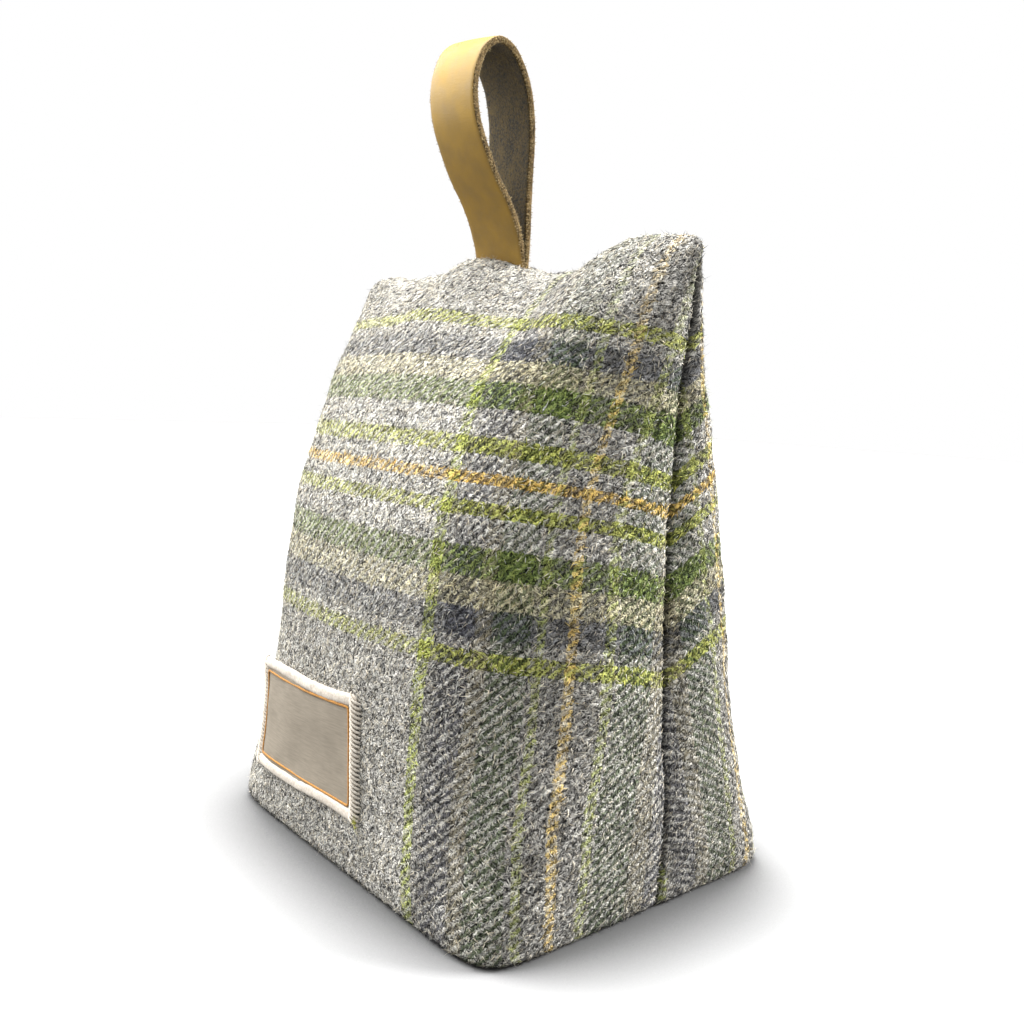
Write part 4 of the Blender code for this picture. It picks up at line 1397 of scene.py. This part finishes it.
fine_mesh.calc_loop_triangles()
points = points_of(fine_mesh)
outwards = normals_of(fine_mesh)
triangle_points = np.empty(len(fine_mesh.loop_triangles) * 3, dtype=np.int32)
fine_mesh.loop_triangles.foreach_get("vertices", triangle_points)
triangle_points = triangle_points.reshape(-1, 3)
triangle_loops = np.empty(len(fine_mesh.loop_triangles) * 3, dtype=np.int32)
fine_mesh.loop_triangles.foreach_get("loops", triangle_loops)
triangle_loops = triangle_loops.reshape(-1, 3)
flat_cloth = np.empty(len(fine_mesh.loops) * 2, dtype=np.float32)
fine_mesh.uv_layers["cloth"].data.foreach_get("uv", flat_cloth)
flat_cloth = flat_cloth.reshape(-1, 2)
corners = points[triangle_points]
areas = np.linalg.norm(np.cross(corners[:, 1] - corners[:, 0], corners[:, 2] - corners[:, 0]), axis=1) / 2.0
middles = corners.mean(axis=1)
front_side = outwards[triangle_points].mean(axis=1)[:, 1] < 0.0
label_trees = []
for piece in (patch, rim):
    shown = piece.evaluated_get(bpy.context.evaluated_depsgraph_get())
    label_trees.append(BVHTree.FromObject(shown, bpy.context.evaluated_depsgraph_get()))


def under_label(root, outward):
    """Whether the label lies over this root."""
    start = Vector(root) - Vector(outward) * LABEL_LOOKED_FOR[0]
    return any(tree.ray_cast(start, Vector(outward), LABEL_LOOKED_FOR[1])[0] is not None
               for tree in label_trees)


def grow_nap(name, panel, low, high):
    """The nap of one part of a panel, as a piece."""
    panel_side = front_side if panel == "front" else ~front_side
    inside = panel_side & (middles[:, 2] >= low) & (middles[:, 2] < high) & (middles[:, 2] > NAP_OFF_FLOOR)
    chosen = np.flatnonzero(inside)
    total = np.cumsum(areas[chosen])
    picked = chosen[np.searchsorted(total, chance.random(NAP_PER_PIECE) * total[-1])]
    first, second = chance.random(NAP_PER_PIECE), chance.random(NAP_PER_PIECE)
    folded = first + second > 1.0
    first, second = np.where(folded, 1.0 - first, first), np.where(folded, 1.0 - second, second)
    shares = np.stack([1.0 - first - second, first, second], axis=-1)[:, :, None]
    roots = (points[triangle_points[picked]] * shares).sum(axis=1)
    outs = (outwards[triangle_points[picked]] * shares).sum(axis=1)
    outs /= np.linalg.norm(outs, axis=1, keepdims=True)
    flat = (flat_cloth[triangle_loops[picked]] * shares).sum(axis=1)
    seam = (from_seam[triangle_points[picked]] * shares[:, :, 0]).sum(axis=1)
    kept = seam > NAP_OFF_SEAM
    near_label = (roots[:, 0] < LABEL_RIGHT + LABEL_NEARBY) & (roots[:, 2] < LABEL_TOP + LABEL_NEARBY)
    near_label &= panel == "front"
    for number in np.flatnonzero(near_label & kept):
        kept[number] = not under_label(roots[number], outs[number])
    roots, outs, flat = roots[kept], outs[kept], flat[kept]
    count = len(roots)
    upward = np.array([0.0, 0.0, 1.0]) - outs * outs[:, 2:3]
    upward /= np.linalg.norm(upward, axis=1, keepdims=True) + 1e-9
    across = np.cross(upward, outs)
    twill = chance.random(count) < NAP_ALONG_TWILL
    along_twill = chance.normal(math.radians(TWILL_DEGREES), NAP_TWILL_SPREAD, count)
    turn = np.where(twill, along_twill, chance.uniform(0.0, math.pi, count))
    turn = turn + np.where(chance.random(count) < 0.5, math.pi, 0.0)
    stray = chance.random(count) < NAP_STRAY_SHARE
    stray_lift = chance.uniform(*NAP_STRAY_LIFT_DEGREES, count)
    lift = np.radians(np.where(stray, stray_lift, chance.uniform(*NAP_LIFT_DEGREES, count)))
    lying = np.cos(turn)[:, None] * across + np.sin(turn)[:, None] * upward
    ways = np.cos(lift)[:, None] * lying + np.sin(lift)[:, None] * outs
    lengths = chance.uniform(*NAP_LENGTH, count) * np.where(stray, NAP_STRAY_LENGTH, 1.0)
    widths = chance.uniform(*NAP_WIDTH, count) / 2.0 * np.where(stray, NAP_STRAY_WIDTH, 1.0)
    shades = chance.random(count)
    mesh = fibre_mesh(name, roots - outs * NAP_ROOT_DEPTH, ways, lengths, widths, flat, shades, outs)
    piece = fitted_piece(name, mesh, "tweed")
    piece.data.materials.append(nap_wool)


def nap_shader(material):
    """A fibre's colour, from dark through dyed to nearly white, with painted shade in the weave's hollows,
    lit mostly as the cloth under it is.
    """
    tree = material.node_tree
    shader = tree.nodes["Principled BSDF"]
    _, colour, weave = woven_tweed(tree)
    # Painted shade: fibres rooted in the weave's hollows are darker, and those on its crowns a little
    # lighter.
    colour = blend_colours(tree, "MULTIPLY", 1.0, colour, between_grey(tree, weave, *NAP_HOLLOW_PAINTED_SHADES))
    shade = add_node(tree, "ShaderNodeAttribute", {"attribute_name": "shade"}).outputs["Fac"]
    warmth = reckon(tree, "FRACT", reckon(tree, "MULTIPLY", shade, 13.0))
    undyed = between(tree, reckon(tree, "FRACT", reckon(tree, "MULTIPLY", shade, 37.0)), *NAP_UNDYED)
    undyed = reckon(tree, "MULTIPLY", undyed, NAP_UNDYED_SHARE)
    colour = blend_colours(tree, "MIX", undyed, colour, (*WOOL_LIGHT, 1.0))
    tint = blend_colours(tree, "MIX", warmth, NAP_COOL, NAP_WARM)
    colour = blend_colours(tree, "MULTIPLY", 1.0, colour, tint)
    depth = blend_colours(tree, "MIX", between(tree, shade, *NAP_DARK_UP_TO), NAP_DARK, NAP_DYED)
    dim = blend_colours(tree, "MULTIPLY", 1.0, colour, depth)
    pale_share = between(tree, shade, *NAP_PALE_FROM)
    tree.links.new(blend_colours(tree, "MIX", pale_share, dim, paler(tree, colour)),
                   shader.inputs["Base Color"])
    facing = add_node(tree, "ShaderNodeAttribute", {"attribute_name": "cloth_facing"}).outputs["Vector"]
    turned = add_node(tree, "ShaderNodeVectorTransform", {
        "vector_type": "NORMAL", "convert_from": "OBJECT", "convert_to": "WORLD"}, {0: facing})
    own = add_node(tree, "ShaderNodeVectorMath", {"operation": "SCALE"}, {
        0: add_node(tree, "ShaderNodeNewGeometry").outputs["Normal"], "Scale": NAP_OWN_FACING})
    leaning = add_node(tree, "ShaderNodeVectorMath", {"operation": "ADD"}, {
        0: turned.outputs[0], 1: own.outputs[0]})
    evened = add_node(tree, "ShaderNodeVectorMath", {"operation": "NORMALIZE"}, {0: leaning.outputs[0]})
    tree.links.new(evened.outputs[0], shader.inputs["Normal"])
    finish(shader, {"Roughness": 0.9, "Specular IOR Level": 0.15, "Sheen Weight": 0.1})


nap_wool = new_material("brushed wool nap")
nap_shader(nap_wool)
for nap_piece in NAP_PIECES:
    grow_nap(*nap_piece)


# Floor, light and backdrop: a white table that runs off to white, with a painted shadow darkening it softly
# where the doorstop stands, broad soft lights from behind, overhead and the left, and an even white surround.
FLOOR_SIZE = 8.0
FLOOR_WHITE = 0.370
# The painted shadow round the doorstop's foot: its share of the white at its darkest, how far it reaches, and
# its samples.
FLOOR_PAINTED_SHADOW = 0.30
FLOOR_PAINTED_SHADOW_REACH = 0.044
FLOOR_PAINTED_SHADOW_SAMPLES = 8
FLOOR_BOUNCE = (0.18, 0.18, 0.18, 1.0)
SURROUND_LIGHT = 0.46
WHITE = (1.0, 1.0, 1.0, 1.0)

# A row for each light: where it comes from in degrees round and up, how broad it is, and its strength.
SOFT_LIGHTS = (
    ("light from behind", 150.0, 34.0, 22.0, 8.20),
    ("overhead light", -52.0, 70.0, 60.0, 8.10),
    ("left light", -70.0, 26.0, 45.0, 3.60),
)


def seen_or_lighting(tree, seen, lighting):
    """Joins two shaders: the one that is looked at, and the one that lights the doorstop."""
    looked_at = add_node(tree, "ShaderNodeLightPath").outputs["Is Camera Ray"]
    return add_node(tree, "ShaderNodeMixShader", feeds={0: looked_at, 1: lighting, 2: seen}).outputs[0]


floor_shape = bmesh.new()
bmesh.ops.create_grid(floor_shape, x_segments=1, y_segments=1, size=FLOOR_SIZE / 2.0)
floor_mesh = bpy.data.meshes.new("floor")
floor_shape.to_mesh(floor_mesh)
floor_shape.free()
floor = bpy.data.objects.new("floor", floor_mesh)
bpy.context.scene.collection.objects.link(floor)
floor_paint = new_material("white table")
floor_tree = floor_paint.node_tree
floor_tree.nodes.remove(floor_tree.nodes["Principled BSDF"])
# Painted shadow: the table's seen white darkens where the doorstop shuts out the sky close to it.
open_sky = add_node(floor_tree, "ShaderNodeAmbientOcclusion", feeds={"Distance": FLOOR_PAINTED_SHADOW_REACH})
open_sky.samples = FLOOR_PAINTED_SHADOW_SAMPLES
painted_floor_shadow = between(floor_tree, open_sky.outputs["AO"], 0.5, 1.0, FLOOR_PAINTED_SHADOW * FLOOR_WHITE, FLOOR_WHITE)
seen_white = between_grey(floor_tree, painted_floor_shadow, 0.0, 1.0)
table_top = seen_or_lighting(
    floor_tree, add_node(floor_tree, "ShaderNodeBsdfDiffuse", feeds={0: seen_white}).outputs[0],
    add_node(floor_tree, "ShaderNodeBsdfDiffuse", feeds={0: FLOOR_BOUNCE}).outputs[0])
floor_tree.links.new(table_top, floor_tree.nodes["Material Output"].inputs[0])
floor_mesh.materials.append(floor_paint)

for name, azimuth, elevation, spread, strength in SOFT_LIGHTS:
    light_data = bpy.data.lights.new(name, "SUN")
    light_data.energy = strength
    light_data.angle = math.radians(spread)
    light = bpy.data.objects.new(name, light_data)
    turn, rise = math.radians(azimuth), math.radians(elevation)
    comes_from = Vector((math.sin(turn) * math.cos(rise), -math.cos(turn) * math.cos(rise), math.sin(rise)))
    light.rotation_euler = (-comes_from).to_track_quat("-Z", "Y").to_euler()
    bpy.context.scene.collection.objects.link(light)

surround = bpy.data.worlds.new("white surround")
surround.use_nodes = True
sky = surround.node_tree
backdrop = seen_or_lighting(
    sky, add_node(sky, "ShaderNodeBackground", feeds={0: WHITE, 1: 1.0}).outputs[0],
    add_node(sky, "ShaderNodeBackground", feeds={0: WHITE, 1: SURROUND_LIGHT}).outputs[0])
sky.links.new(backdrop, sky.nodes["World Output"].inputs[0])
bpy.context.scene.world = surround
bpy.context.scene.view_settings.view_transform = "Standard"
